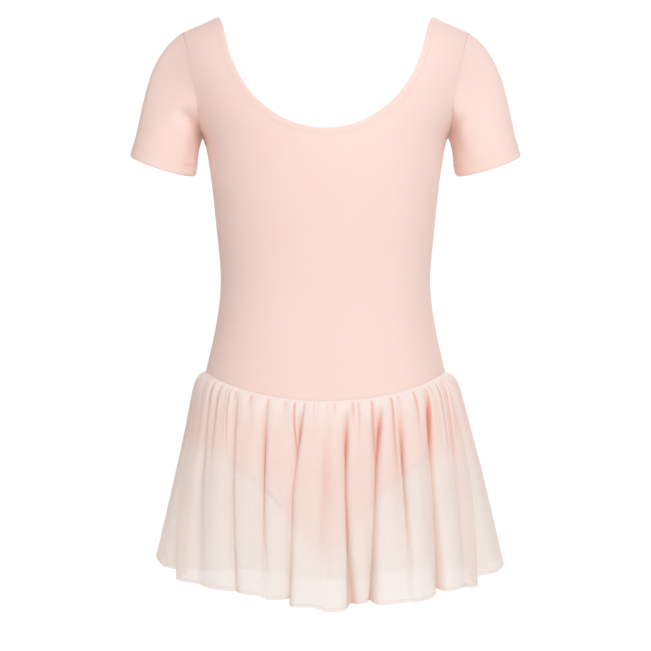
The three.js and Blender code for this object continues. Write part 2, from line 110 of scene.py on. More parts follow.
def dense_end(count: int, crowding: float = 0.8) -> Array:
    """Shares from 0 to 1 that lie closer together towards 1."""
    x = np.linspace(0, 1, count + 1)
    return (1 - crowding) * x + crowding * (1 - (1 - x) ** 2)


def dense_start(count: int, crowding: float = 0.8) -> Array:
    """Shares from 0 to 1 that lie closer together towards 0."""
    return 1 - dense_end(count, crowding)[::-1]


def dense_ends(count: int, crowding: float = 0.8) -> Array:
    """Shares from 0 to 1 that lie closer together towards both ends."""
    x = np.linspace(0, 1, count + 1)
    return x - crowding * np.sin(2 * pi * x) / (2 * pi)


def soft_noise(at: Array, wavelength: float, seed: int) -> Array:
    """Smooth seeded noise along a line, about -1 to 1: four sines of unlike lengths and phases added up."""
    rng = np.random.default_rng(seed)
    total = np.zeros_like(at)
    for stretch in (1.0, 1.37, 1.91, 2.63):
        phase, turn = rng.uniform(0, 2 * pi, 2)
        total += np.sin(2 * pi * at / (wavelength * stretch) + phase + 0.4 * np.sin(turn + at / wavelength))
    return total / 3


@dataclass(frozen=True)
class BodyForm:
    """The worn body inside the cloth, as horizontal sections with filled-out corners.

    Columns of sections are height, half width, depth in front and depth behind, in millimetres.
    """

    sections: tuple[tuple[float, ...], ...] = (
        (-520, 125, 82, 93),
        (-450, 126, 84, 96),
        (-410, 124, 87, 97),
        (-370, 119, 88, 92),
        (-337, 113.5, 85, 84),
        (-311, 107.5, 82, 76),
        (-288, 103, 79, 71),
        (-265, 100, 77, 68),
        (-242, 99.5, 77, 68),
        (-196, 103.8, 80, 73),
        (-158, 107.9, 82, 78),
        (-127, 112.4, 82, 81),
        (-113, 115, 81, 82),
        (-102, 119.5, 80, 82),
        (-75, 131, 76, 80),
        (-39, 142, 71, 76),
        (-13, 149, 68, 73),
        (20, 153, 68, 73),
    )
    squareness: float = 0.09
    shoulder_slope: float = 0.43
    shoulder_level_at: float = 0.105
    shoulder_rounds_from: float = -0.060
    crotch_rounds_from: float = -0.400
    crotch_bottom: float = -0.504
    under_ridge: float = 0.3 * MM

    def column(self, index: int, z: Array) -> Array:
        """One column of the sections at the heights z."""
        table = np.array(self.sections) * MM
        return smooth_curve(table[:, 0], table[:, index], z)

    def ridge(self, x: Array) -> Array:
        """Height of the shoulder ridge, which falls outwards."""
        return self.shoulder_slope * (self.shoulder_level_at - np.abs(x))

    def below_ridge(self, x: Array, z: Array) -> Array:
        """Heights held just below the shoulder ridge, where the surface still has a normal."""
        return np.minimum(z, self.ridge(x) - self.under_ridge)

    def sideways(self, angle: Array, z: Array) -> Array:
        """x of the section: half width times sine, filled out by the square of the cosine."""
        return self.column(1, z) * np.sin(angle) * (1 + self.squareness * np.cos(angle) ** 2)

    def point(self, angle: Array, z: Array) -> Array:
        """Points of the surface, with the shoulders and the crotch rounded by quarter ellipses.

        Args:
            angle: turn round from the centre front.
            z: height.

        Returns:
            Points with their coordinates on the last axis.
        """
        angle, z = np.broadcast_arrays(angle, z)
        forward = np.cos(angle)
        depth = np.where(forward > 0, self.column(2, z), self.column(3, z))
        x = self.sideways(angle, z)
        rise = (z - self.shoulder_rounds_from) / (self.ridge(x) - self.shoulder_rounds_from)
        fall = (self.crotch_rounds_from - z) / (self.crotch_rounds_from - self.crotch_bottom)
        rounding = np.sqrt(1 - np.clip(rise, 0, 1) ** 2) * np.sqrt(1 - np.clip(fall, 0, 1) ** 2)
        y = -depth * forward * (1 + self.squareness * np.sin(angle) ** 2) * rounding
        return np.stack([x, y, z], axis=-1)

    def angle_at(self, x: Array, z: Array) -> Array:
        """The turn at which the section reaches x, found by halving."""
        x, z = np.broadcast_arrays(x, z)
        low, high = np.zeros(x.shape), np.full(x.shape, QUARTER_TURN)
        for _ in range(40):
            middle = (low + high) / 2
            short = self.sideways(middle, z) < np.abs(x)
            low, high = np.where(short, middle, low), np.where(short, high, middle)
        return np.sign(x) * low

    def normal(self, angle: Array, z: Array, step: float = 1e-4) -> Array:
        """Outward unit normals, from small steps over the surface."""
        across = self.point(angle + step, z) - self.point(angle - step, z)
        along = self.point(angle, z + step) - self.point(angle, z - step)
        return unit(np.cross(across, along))


def unit(vectors: Array) -> Array:
    """Vectors of length one along the last axis."""
    return vectors / np.maximum(np.linalg.norm(vectors, axis=-1, keepdims=True), 1e-12)


def grid_normals(points: Array, wrapped: bool = False) -> Array:
    """Unit normals of a grid: the column step crossed with the row step."""
    if wrapped:
        across = np.roll(points, -1, axis=0) - np.roll(points, 1, axis=0)
    else:
        across = np.gradient(points, axis=0)
    return unit(np.cross(across, np.gradient(points, axis=1)))


def nearest_distance(points: Array, line: Array, longest_step: float = 1.5 * MM) -> Array:
    """Distance from each point to the samples of one or more lines and the straight steps between them.

    Args:
        points: any array of points.
        line: the samples, with longer gaps between separate lines.
        longest_step: samples further apart than this aren't joined.

    Returns:
        One distance for each point.
    """
    flat = points.reshape(-1, 3)
    nearest = np.concatenate([
        ((block[:, None] - line[None]) ** 2).sum(-1).argmin(1)
        for block in np.array_split(flat, max(1, len(flat) // 2000))
    ])
    from_sample = flat - line[nearest]
    found = []
    for beside in (np.maximum(nearest - 1, 0), np.minimum(nearest + 1, len(line) - 1)):
        step = line[beside] - line[nearest]
        squared = (step**2).sum(-1)
        share = np.clip((from_sample * step).sum(-1) / np.maximum(squared, 1e-15), 0, 1)
        share = np.where(squared < longest_step**2, share, 0)
        found.append(np.linalg.norm(from_sample - share[:, None] * step, axis=-1))
    return np.minimum(*found).reshape(points.shape[:-1])


def lengths_along(line: Array) -> Array:
    """Length from the start of a line of points to each of them."""
    return np.concatenate([[0], np.cumsum(np.linalg.norm(np.diff(line, axis=0), axis=1))])


def resample(line: Array, step: float) -> Array:
    """Points at even lengths, about a step apart, along a line of points."""
    lengths = lengths_along(line)
    wanted = np.linspace(0, lengths[-1], max(2, int(round(lengths[-1] / step)) + 1))
    return np.stack([np.interp(wanted, lengths, line[:, k]) for k in range(3)], axis=1)


def line_at(surface: Array, from_edge: Array, distance: float) -> Array:
    """Line across a grid's columns at one distance from the edge, by straight steps between its rows."""
    row = np.clip((from_edge < distance).sum(axis=1) - 1, 0, surface.shape[1] - 2)
    column = np.arange(len(surface))
    near, far = from_edge[column, row], from_edge[column, row + 1]
    share = ((distance - near) / (far - near))[:, None]
    return surface[column, row] * (1 - share) + surface[column, row + 1] * share


def placed(name: str, data: bpy.types.ID) -> bpy.types.Object:
    """A new object in the scene, at the origin."""
    thing = bpy.data.objects.new(name, data)
    bpy.context.collection.objects.link(thing)
    return thing


@dataclass
class ClothGrid:
    """A grid of points with cloth coordinates, made into a mesh of quads.

    Attributes:
        points: columns, rows and coordinates.
        cloth: cloth coordinates across and along, in metres, for the weave.
        kept: which cells of the grid are cloth.
        wrapped: whether the last column joins the first.
        extras: values for each point that the finishes read.
    """

    points: Array
    cloth: Array
    kept: Array | None = None
    wrapped: bool = False
    extras: dict[str, Array] = field(default_factory=dict)

    def quads(self) -> Array:
        """The four corners of each kept cell, so that the normal is column step times row step."""
        columns, rows = self.points.shape[:2]
        index = np.arange(columns * rows).reshape(columns, rows)
        after = np.roll(index, -1, axis=0)
        spans = columns if self.wrapped else columns - 1
        corners = [index[:spans, :-1], after[:spans, :-1], after[:spans, 1:], index[:spans, 1:]]
        faces = np.stack(corners, axis=-1)
        return faces[self.kept] if self.kept is not None else faces.reshape(-1, 4)

    def build(self, name: str) -> bpy.types.Object:
        """Makes the mesh object, with a UV map and the extra values.

        Args:
            name: the piece's name.

        Returns:
            The object, at the origin.
        """
        faces = self.quads()
        used, faces = np.unique(faces, return_inverse=True)
        faces = faces.reshape(-1, 4)
        points = self.points.reshape(-1, 3)[used]
        mesh = bpy.data.meshes.new(name)
        mesh.vertices.add(len(points))
        mesh.vertices.foreach_set("co", points.astype(np.float32).ravel())
        mesh.loops.add(faces.size)
        mesh.loops.foreach_set("vertex_index", faces.astype(np.int32).ravel())
        mesh.polygons.add(len(faces))
        mesh.polygons.foreach_set("loop_start", np.arange(0, faces.size, 4, dtype=np.int32))
        mesh.update(calc_edges=True)
        mesh.validate()
        layer = mesh.uv_layers.new(name="cloth")
        cloth = self.cloth.reshape(-1, 2)[used]
        layer.data.foreach_set("uv", cloth[faces.ravel()].astype(np.float32).ravel())
        for key, values in self.extras.items():
            attribute = mesh.attributes.new(key, "FLOAT", "POINT")
            attribute.data.foreach_set("value", values.ravel()[used].astype(np.float32))
        mesh.shade_smooth()
        return placed(name, mesh)


def thicken(thing: bpy.types.Object, thickness: float) -> None:
    """Gives a shell its thickness, inwards from the modelled face."""
    wall = thing.modifiers.new("wall", "SOLIDIFY")
    wall.thickness = thickness
    wall.offset = -1


class NodeTree:
    """A material's node tree with short calls for the nodes that the finishes use."""

    def __init__(self, name: str) -> None:
        """Makes an empty material with an output and a Principled shader."""
        self.material = bpy.data.materials.new(name)
        self.material.use_nodes = True
        self.tree = self.material.node_tree
        self.tree.nodes.clear()
        self.shader = self.node("BsdfPrincipled")
        self.output = self.node("OutputMaterial")
        self.feed(self.output.inputs["Surface"], self.shader.outputs["BSDF"])

    def node(self, kind: str) -> bpy.types.Node:
        """A new shader node of the given kind."""
        return self.tree.nodes.new("ShaderNode" + kind)

    def feed(self, socket: bpy.types.NodeSocket, value) -> None:
        """Links an output to a socket, or sets the socket's own value."""
        if isinstance(value, bpy.types.NodeSocket):
            self.tree.links.new(value, socket)
        else:
            socket.default_value = value

    def look(self, **values) -> None:
        """Sets or links inputs of the Principled shader, named with _ for each space."""
        for name, value in values.items():
            self.feed(self.shader.inputs[name.replace("_", " ")], value)

    def math(self, operation: str, *values) -> bpy.types.NodeSocket:
        """A Math node on one to three values."""
        node = self.node("Math")
        node.operation = operation
        for socket, value in zip(node.inputs, values):
            self.feed(socket, value)
        return node.outputs[0]

    def cloth(self) -> tuple[bpy.types.NodeSocket, bpy.types.NodeSocket]:
        """The two cloth coordinates of the piece's UV map."""
        uv = self.node("UVMap")
        uv.uv_map = "cloth"
        split = self.node("SeparateXYZ")
        self.feed(split.inputs[0], uv.outputs[0])
        return split.outputs[0], split.outputs[1]

    def attribute(self, name: str) -> bpy.types.NodeSocket:
        """A value that the mesh holds for each point."""
        node = self.node("Attribute")
        node.attribute_name = name
        return node.outputs["Fac"]

    def noise(self, size: float, detail: float = 2.0) -> bpy.types.NodeSocket:
        """Noise on Object coordinates, with blobs of about the given size in metres."""
        place = self.node("TexCoord")
        node = self.node("TexNoise")
        node.inputs["Scale"].default_value = 1 / size
        node.inputs["Detail"].default_value = detail
        self.feed(node.inputs["Vector"], place.outputs["Object"])
        return node.outputs["Fac"]

    def mix(self, share, first, second) -> bpy.types.NodeSocket:
        """A blend of two colours."""
        node = self.node("Mix")
        node.data_type = "RGBA"
        self.feed(node.inputs["Factor"], share)
        self.feed(node.inputs["A"], first)
        self.feed(node.inputs["B"], second)
        return node.outputs["Result"]

    def sheer(self, cover, glow, tint) -> None:
        """Lets light through: holes in the weave, and a share of the light behind it in the threads.

        Args:
            cover: share of the cloth that is thread.
            glow: share of the threads' look that is the light behind them.
            tint: colour of that light.
        """
        behind, holes = self.node("BsdfTranslucent"), self.node("BsdfTransparent")
        self.feed(behind.inputs["Color"], tint)
        threads = self.blend(glow, self.shader.outputs["BSDF"], behind.outputs["BSDF"])
        self.feed(self.output.inputs["Surface"], self.blend(cover, holes.outputs["BSDF"], threads))

    def blend(self, share, first, second) -> bpy.types.NodeSocket:
        """A blend of two shaders."""
        node = self.node("MixShader")
        for socket, value in zip(node.inputs, (share, first, second)):
            self.feed(socket, value)
        return node.outputs["Shader"]

    def bump(self, height, depth: float) -> None:
        """Bump on the shader's normal, with the depth in metres of a height of one."""
        node = self.node("Bump")
        node.inputs["Strength"].default_value = 1.0
        node.inputs["Distance"].default_value = depth
        self.feed(node.inputs["Height"], height)
        self.look(Normal=node.outputs["Normal"])


def colour(red: float, green: float, blue: float) -> tuple[float, float, float, float]:
    """A linear colour from sRGB values of 0 to 255."""
    values = np.array([red, green, blue]) / 255
    linear = np.where(values <= 0.04045, values / 12.92, ((values + 0.055) / 1.055) ** 2.4)
    return (*linear.tolist(), 1.0)


@dataclass(frozen=True)
class Jersey:
    """Fine blush stretch jersey: wales of small V stitches, a soft nap, faint colour variation and painted
    shade in the low parts of the knit.
    """

    light: tuple[float, ...] = (251, 226, 217)
    # Deep tone, used both for faint random blotches and for painted shade in the low parts of the knit.
    deep: tuple[float, ...] = (246, 214, 204)
    wale: float = 0.9 * MM
    course: float = 0.75 * MM
    slant: float = 0.6
    relief: float = 0.07 * MM
    course_depth: float = 0.35
    nap: float = 0.6 * MM
    nap_share: float = 0.5
    blotch: float = 60 * MM
    blotch_share: float = 0.35
    groove_shade_share: float = 0.25
    gloss: tuple[float, float] = (0.12, 0.58)

    def material(self) -> bpy.types.Material:
        """Builds the knit from the cloth coordinates.

        The height is a rounded ridge across each half wale, times a wave along it that leans with the
        distance from the wale's middle, which draws the V of each stitch.
        """
        tree = NodeTree("blush_jersey")
        across, along = tree.cloth()
        wales = tree.math("MULTIPLY", across, 1 / self.wale)
        off_middle = tree.math("ABSOLUTE", tree.math("SUBTRACT", tree.math("FRACT", wales), 0.5))
        lean = tree.math("MULTIPLY", off_middle, 2 * self.slant)
        courses = tree.math("ADD", tree.math("MULTIPLY", along, 1 / self.course), lean)
        wave = tree.math("SINE", tree.math("MULTIPLY", courses, 2 * pi))
        yarn = tree.math("MULTIPLY_ADD", wave, self.course_depth, 1 - self.course_depth)
        strand = tree.math("SINE", tree.math("MULTIPLY", off_middle, 2 * pi))
        knit = tree.math("MULTIPLY", yarn, strand)
        nap = tree.noise(self.nap, 3.0)
        tree.bump(tree.math("MULTIPLY_ADD", nap, self.nap_share, knit), self.relief)
        blotches = tree.noise(self.blotch, 1.0)
        # Painted shade: the deep colour where the knit's height is low, added to the random blotches.
        groove_shade = tree.math("MULTIPLY", tree.math("SUBTRACT", 1.0, knit), self.groove_shade_share)
        share = tree.math("ADD", tree.math("MULTIPLY", blotches, self.blotch_share), groove_shade)
        tree.look(
            Base_Color=tree.mix(share, colour(*self.light), colour(*self.deep)),
            Roughness=tree.math("MULTIPLY_ADD", nap, *self.gloss),
            Sheen_Weight=0.25,
            Sheen_Roughness=0.45,
            Sheen_Tint=colour(255, 236, 230),
            Subsurface_Weight=0.12,
            Subsurface_Radius=(1.0, 0.55, 0.45),
            Subsurface_Scale=1.5 * MM,
            Specular_IOR_Level=0.35,
        )
        return tree.material


@dataclass(frozen=True)
class Chiffon:
    """Sheer crepe chiffon: a plain weave with open squares, creamy where it hangs free.

    It is pinker over the leotard, and painted shade makes it deeper and pinker in its folds and creases.
    """

    hanging: tuple[float, ...] = (255, 251, 246)
    lined: tuple[float, ...] = (255, 246, 240)
    # Painted shade in the folds and creases: one colour over the leotard, one where the cloth hangs free.
    crease_shade: tuple[float, ...] = (236, 166, 144)
    crease_shade_hanging: tuple[float, ...] = (236, 208, 193)
    thread: float = 0.55 * MM
    relief: float = 0.03 * MM
    cover: float = 0.85
    creased_cover: float = 0.14
    hem_cover: float = 0.08
    weave_cover: float = 0.04
    crepe: float = 1.6 * MM
    crepe_relief: float = 2.0
    crepe_cover: float = 0.10
    blotch: float = 35 * MM
    blotch_share: float = 0.25
    light_let_through: float = 0.55
    glow: float = 0.45

    def material(self) -> bpy.types.Material:
        """Builds the weave from the cloth coordinates, with light through its holes and its threads, and
        painted shade in its folds and creases.
        """
        tree = NodeTree("sheer_chiffon")
        per_metre = 2 * pi / self.thread
        waves = [tree.math("SINE", tree.math("MULTIPLY", axis, per_metre)) for axis in tree.cloth()]
        weave = tree.math("MULTIPLY", *waves)
        crepe = tree.noise(self.crepe, 3.0)
        tree.bump(tree.math("ADD", weave, tree.math("MULTIPLY", crepe, self.crepe_relief)), self.relief)
        # Painted shade: a value from the skirt's geometry, high along its folds and pucker creases, which
        # deepens and pinks the colour there and also thickens the cover.
        fold_shade = tree.attribute("fold_shade")
        cover = tree.math("MULTIPLY_ADD", tree.attribute("hem"), self.hem_cover, self.cover)
        cover = tree.math("MULTIPLY_ADD", fold_shade, self.creased_cover, cover)
        cover = tree.math("MULTIPLY_ADD", tree.math("SUBTRACT", crepe, 0.5), self.crepe_cover, cover)
        cover = tree.math("MULTIPLY_ADD", weave, self.weave_cover, cover)
        path = tree.node("LightPath")
        shadow = tree.math("MULTIPLY_ADD", path.outputs["Is Shadow Ray"], -self.light_let_through, 1.0)
        blotch = tree.math("SUBTRACT", tree.noise(self.blotch, 1.0), 0.5)
        drift = tree.math("MULTIPLY_ADD", blotch, self.blotch_share, tree.attribute("lined"))
        smooth = tree.mix(drift, colour(*self.hanging), colour(*self.lined))
        lined = tree.attribute("lined")
        # Painted shade in the folds and creases: its colour, pinker over the leotard, takes the place of the
        # plain colour there, and the result feeds both the surface and the light let through.
        folded = tree.mix(lined, colour(*self.crease_shade_hanging), colour(*self.crease_shade))
        tint = tree.mix(fold_shade, smooth, folded)
        glow = tree.math("MULTIPLY", tree.attribute("hung"), self.glow)
        tree.sheer(tree.math("MULTIPLY", cover, shadow), glow, tint)
        tree.look(
            Base_Color=tint, Roughness=0.62, Sheen_Weight=0.2, Sheen_Roughness=0.5, Specular_IOR_Level=0.2
        )
        return tree.material


@dataclass(frozen=True)
class SewingThread:
    """Matching polyester sewing thread, two plies with a slight gloss."""

    tone: tuple[float, ...] = (250, 222, 213)
    # Share of the tone kept in the painted shade of the twist.
    shade: float = 0.97
    ply: float = 0.5 * MM
    relief: float = 0.04 * MM

    def material(self) -> bpy.types.Material:
        """Builds the thread, with its twist as slanting bands of bump and painted shade in the low part of
        each band.
        """
        tree = NodeTree("blush_thread")
        place = tree.node("TexCoord")
        twist = tree.node("TexWave")
        twist.bands_direction = "DIAGONAL"
        twist.inputs["Scale"].default_value = 1 / self.ply
        tree.feed(twist.inputs["Vector"], place.outputs["Object"])
        tree.bump(twist.outputs["Fac"], self.relief)
        # Painted shade: this slightly darker tone lies in the low parts of the twist, along with the bump.
        darker = colour(*(self.shade * value for value in self.tone))
        tree.look(
            Base_Color=tree.mix(twist.outputs["Fac"], darker, colour(*self.tone)), Roughness=0.45
        )
        return tree.material


@dataclass(frozen=True)
class Crease:
    """A soft trough or ridge in the cloth along a line of the front view, in millimetres.

    Attributes:
        start: x and z where it begins.
        end: x and z where it ends.
        width: half width of its bell shape.
        height: how far it rises, below zero for a trough.
        bow: how far its middle bends aside.
        side: the half of the piece that it lies on.
    """

    start: tuple[float, float]
    end: tuple[float, float]
    width: float
    height: float
    bow: float = 0.0
    side: Side = Side.FRONT
    fade_in: ClassVar[tuple[float, float]] = (-0.15, 0.35)
    fade_out: ClassVar[tuple[float, float]] = (1.15, 0.65)
    side_blend: ClassVar[float] = 8 * MM

    def mirrored(self) -> "Crease":
        """The same crease on the other side of the centre."""
        (x0, z0), (x1, z1) = self.start, self.end
        return replace(self, start=(-x0, z0), end=(-x1, z1), bow=-self.bow)

    def moved(self, points: Array) -> Array:
        """How far the crease moves each point forwards or backwards.

        It is a bell across the line, faded towards both of its ends. Two pieces that share a crease move
        alike, so that it can cross their seam.
        """
        begin, finish = np.array(self.start) * MM, np.array(self.end) * MM
        line = finish - begin
        length = np.linalg.norm(line)
        offset = points[..., [0, 2]] - begin
        along = (offset @ line) / length**2
        aside = (offset @ np.array([-line[1], line[0]])) / length - self.bow * MM * 4 * along * (1 - along)
        ends = smooth_step(*self.fade_in, along) * smooth_step(*self.fade_out, along)
        own = smooth_step(0, self.side_blend, -self.side.value * points[..., 1])
        lift = self.height * MM * np.exp(-((aside / (self.width * MM)) ** 2)) * ends * own
        return lift[..., None] * (0, -self.side.value, 0)


@dataclass(frozen=True)
class Edges:
    """How cloth behaves near a seam and near a turned and stitched edge."""

    seam_sink: float = 0.35 * MM
    seam_width: float = 0.7 * MM
    hem_rise: float = 0.35 * MM
    hem_slope: tuple[float, float] = (-0.2 * MM, 1.2 * MM)
    roll_sink: float = 0.45 * MM
    roll_width: float = 0.8 * MM
    stitch_sink: float = 0.3 * MM
    stitch_width: float = 0.7 * MM
    stitch_inset: float = 1.0 * MM
    web_rise: float = 1.5 * MM
    web_width: float = 6.0 * MM
    web_range: tuple[float, float] = (-0.060, -0.020)

    def seam(self, distance: Array) -> Array:
        """A narrow channel along a seam."""
        return -self.seam_sink * np.exp(-((distance / self.seam_width) ** 2))

    def web(self, distance: Array, z: Array) -> Array:
        """Cloth that bridges the armhole seam, fully at the underarm and not at all near the shoulder."""
        low = 1 - smooth_step(*self.web_range, z)
        return low * self.web_rise * np.exp(-distance / self.web_width)

    def hem(self, distance: Array, width: float) -> Array:
        """A doubled band with a rounded edge and a stitched groove at its inner side."""
        band = self.hem_rise * (1 - smooth_step(*self.hem_slope, distance - width))
        rolled = self.roll_sink * np.exp(-((distance / self.roll_width) ** 2))
        inside = distance - width + self.stitch_inset
        groove = self.stitch_sink * np.exp(-((inside / self.stitch_width) ** 2))
        return band - rolled - groove


@dataclass
class Place:
    """A row of places on the body, each a turn from the panel's own centre and a height."""

    angle: Array
    z: Array

    def points(self, body: BodyForm, side: Side) -> Array:
        """The places as points of the front or the back."""
        return body.point(side.turned(self.angle), self.z)

    def even(self, body: BodyForm, shares: Array) -> "Place":
        """The places at shares of the row's own length over the body."""
        lengths = lengths_along(body.point(self.angle, self.z))
        wanted = shares * lengths[-1]
        return Place(np.interp(wanted, lengths, self.angle), np.interp(wanted, lengths, self.z))

    def then(self, other: "Place") -> "Place":
        """This row and another that goes on from its last place."""
        return Place(np.append(self.angle[:-1], other.angle), np.append(self.z[:-1], other.z))

    def on_ridge(self, body: BodyForm) -> "Place":
        """The places raised onto the shoulder ridge, by putting the ridge's height in again and again."""
        z = self.z
        for _ in range(6):
            z = body.ridge(body.sideways(self.angle, z))
        return Place(self.angle, z)


@dataclass
class LeotardPanel:
    """A front or back panel of the leotard as a shell just inside its solid's outer face.

    Half of it is a grid in two parts: wide rows from the hip seam to a split line, and narrow rows from
    the inner stretch of that line, along a flank, to the far edge. The other half is its mirror image.
    """

    body: BodyForm
    side: Side
    creases: tuple[Crease, ...] = ()
    edges: Edges = field(default_factory=Edges)
    wall: float = 0.8 * MM
    face: float = 0.95 * MM
    hem_width: float = 7 * MM
    even_within: float = 0.25
    seam_gap: float = 0.02 * MM
    knit_radius: float = 0.115
    soft_seam: float = 0.1
    line_step: float = 0.6 * MM
    stitch_step: float = 1.5 * MM
    fine: Array = field(default_factory=lambda: np.linspace(0, 1, 4000))
    stitches: list[tuple[Array, Array]] = field(default_factory=list)

    def half_places(
        self, hip: Place, split: Place, flank: Place, far: Place, rows: Array, even_from: float = 1
    ) -> Place:
        """Places of half the panel.

        Args:
            hip: the hip seam, one place for each column.
            split: the split line, one place for each column.
            flank: from the split line to the far edge, one place for each narrow row.
            far: the far edge, one place for each narrow column.
            rows: shares of the wide rows.
            even_from: share of the far edge from which the narrow rows no longer keep the flank's heights.

        Returns:
            Grid of places. The columns outside the flank repeat their last place in the narrow rows.
        """
        cut = len(split.z) - len(far.z)
        inwards = np.linspace(0, 1, len(far.z))[:, None]
        by_height = ((flank.z - flank.z[0]) / (flank.z[-1] - flank.z[0]))[None, 1:]
        by_row = dense_end(len(flank.z) - 1)[None, 1:]
        evenness = smooth_step(even_from, even_from + self.even_within, inwards)
        share = by_height + (by_row - by_height) * evenness
        grids = []
        for name in ("angle", "z"):
            start, middle = getattr(hip, name)[:, None], getattr(split, name)[:, None]
            wide = start + (middle - start) * rows[None]
            inner, end = getattr(split, name)[cut:, None], getattr(far, name)[:, None]
            beside = getattr(flank, name)[None, 1:]
            straight = inner[0] + (end[0] - inner[0]) * by_height
            narrow = inner + (end - inner) * share + (1 - inwards) * (beside - straight)
            outside = np.repeat(wide[:cut, -1:], narrow.shape[1], axis=1)
            grids.append(np.concatenate([wide, np.concatenate([outside, narrow])], axis=1))
        return Place(*grids)

    def whole(self, half: Place, cut: int, wide_rows: int) -> ClothGrid:
        """The whole panel from half of it, with cloth coordinates and the missing cells left out."""
        points = half.points(self.body, self.side)
        points = np.concatenate([points * (-1, 1, 1), points[-2::-1]])
        forward = -self.side.value
        points[..., 1] = forward * np.maximum(forward * points[..., 1], self.seam_gap)
        cloth = np.stack([self.mirrored(half.angle, -1) * self.knit_radius, self.mirrored(half.z)], axis=-1)
        kept = np.ones((len(points) - 1, points.shape[1] - 1), dtype=bool)
        kept[:cut, wide_rows:] = False
        kept[-cut:, wide_rows:] = False
        return ClothGrid(points, cloth, kept)

    def mirrored(self, values: Array, sign: int = 1) -> Array:
        """Values of the half panel's grid for the whole one, with a sign on the other half."""
        return np.concatenate([sign * values, values[-2::-1]])

    def normals(self, grid: ClothGrid, half: Place) -> Array:
        """Outward normals of the body at the grid's points, level across the side seams."""
        limit = QUARTER_TURN - 1e-3
        angle = self.side.turned(np.clip(self.mirrored(half.angle, -1), -limit, limit))
        normals = self.body.normal(angle, self.body.below_ridge(grid.points[..., 0], self.mirrored(half.z)))
        flat = np.abs(grid.points[..., 1]) < 5 * self.seam_gap
        normals[..., 1] = np.where(flat, 0, normals[..., 1])
        return unit(normals)

    def shell(
        self, grid: ClothGrid, normals: Array, seams: list[Array], hem: Array, soft: list[Array]
    ) -> None:
        """Lifts the grid to the cloth's outer face and adds seams, a hem and creases.

        Args:
            grid: the panel on the body's surface.
            normals: outward normals at its points.
            seams: lines of seams on the half with X above zero.
            hem: the turned edge on that half.
            soft: lines of seams that fade towards the underarm.
        """
        lift = np.full(grid.points.shape[:2], self.face)
        lift += self.edges.seam(nearest_distance(grid.points, self.both(seams)))
        if soft:
            distance, z = nearest_distance(grid.points, self.both(soft)), grid.points[..., 2]
            firm = self.soft_seam + (1 - self.soft_seam) * smooth_step(*self.edges.web_range, z)
            lift += self.edges.seam(distance) * firm
            lift += self.edges.web(distance, z)
        lift += self.edges.hem(nearest_distance(grid.points, self.both([hem])), self.hem_width)
        shift = sum(crease.moved(grid.points) for crease in self.creases)
        grid.points = grid.points + normals * lift[..., None] + shift

    def made(self, grid: ClothGrid, name: str, turned: bool) -> bpy.types.Object:
        """The panel's object, with its columns turned round where its faces would look inwards."""
        if turned:
            grid.points, grid.cloth, grid.kept = grid.points[::-1], grid.cloth[::-1], grid.kept[::-1]
        thing = grid.build(name)
        thicken(thing, self.wall)
        return thing

    def side_seam(self, start: float, end: float, count: int) -> Array:
        """Points of the side seam between two heights."""
        return self.body.point(QUARTER_TURN, np.linspace(start, end, count))

    def both(self, lines: list[Array]) -> Array:
        """Points close together along lines and their mirror images."""
        fine = np.concatenate([resample(line, self.line_step) for line in lines])
        return np.concatenate([fine, fine * (-1, 1, 1)])

    def stitch(self, hem: Array, inwards: float) -> None:
        """Notes a row of stitches in the groove beside a hem.

        The row is the edge moved square to itself along the cloth, and set down on the body again.

        Args:
            hem: points of the edge on the half with X above zero.
            inwards: 1 or -1, the side of the edge that the cloth lies on.
        """
        edge = resample(hem, self.stitch_step)
        distance = self.hem_width - self.edges.stitch_inset
        towards = self.body_normals(edge)
        inside = inwards * unit(np.cross(towards, unit(np.gradient(edge, axis=0))))
        moved = edge + inside * distance
        row = Place(self.body.angle_at(moved[:, 0], moved[:, 2]), moved[:, 2])
        line = row.points(self.body, self.side)
        normals = self.body_normals(line)
        lift = self.face + self.edges.hem(np.full(len(line), distance), self.hem_width)
        line = line + normals * lift[:, None]
        for mirror in ((1, 1, 1), (-1, 1, 1)):
            self.stitches.append((line * mirror, normals * mirror))

    def body_normals(self, points: Array) -> Array:
        """Outward normals of the body at points on this side of it."""
        angle = self.body.angle_at(points[:, 0], points[:, 2])
        return self.body.normal(self.side.turned(angle), points[:, 2])


@dataclass(frozen=True)
class HipSeam:
    """The seam between bodice, brief and skirt, which dips towards the centre."""

    side_z: float = -0.337
    front_dip: float = 0.026
    back_dip: float = 0.022

    def height(self, angle: Array) -> Array:
        """Height at a turn round from the centre front: the dip times the squared cosine."""
        dip = np.where(np.cos(angle) > 0, self.front_dip, self.back_dip)
        return self.side_z - dip * np.cos(angle) ** 2

    def places(self, columns: Array, side: Side, gap: float) -> Place:
        """Places from the side to the centre at the given shares."""
        angle = QUARTER_TURN * (1 - columns)
        return Place(angle, self.height(side.turned(angle)) + gap)


@dataclass(frozen=True)
class Armhole:
    """The armhole in the front view, from the underarm up to the shoulder tip, in millimetres."""

    heights: tuple[float, ...] = (-113, -102, -82, -62, -39, -13.5)
    sides: tuple[float, ...] = (115, 118, 119.3, 122, 128.5, 136.5)
    tip_x: float = 0.1365
    steps: int = 2000

    def places(self, body: BodyForm, shares: Array) -> Place:
        """Places at even lengths from the underarm to the tip."""
        swing = (1 - np.cos(pi * np.linspace(0, 1, self.steps))) / 2
        z = self.heights[0] * MM + swing * (body.ridge(self.tip_x) - self.heights[0] * MM)
        x = smooth_curve(np.array(self.heights) * MM, np.array(self.sides) * MM, z)
        angle = body.angle_at(x, z)
        angle[0] = QUARTER_TURN
        return Place(angle, z).even(body, shares)


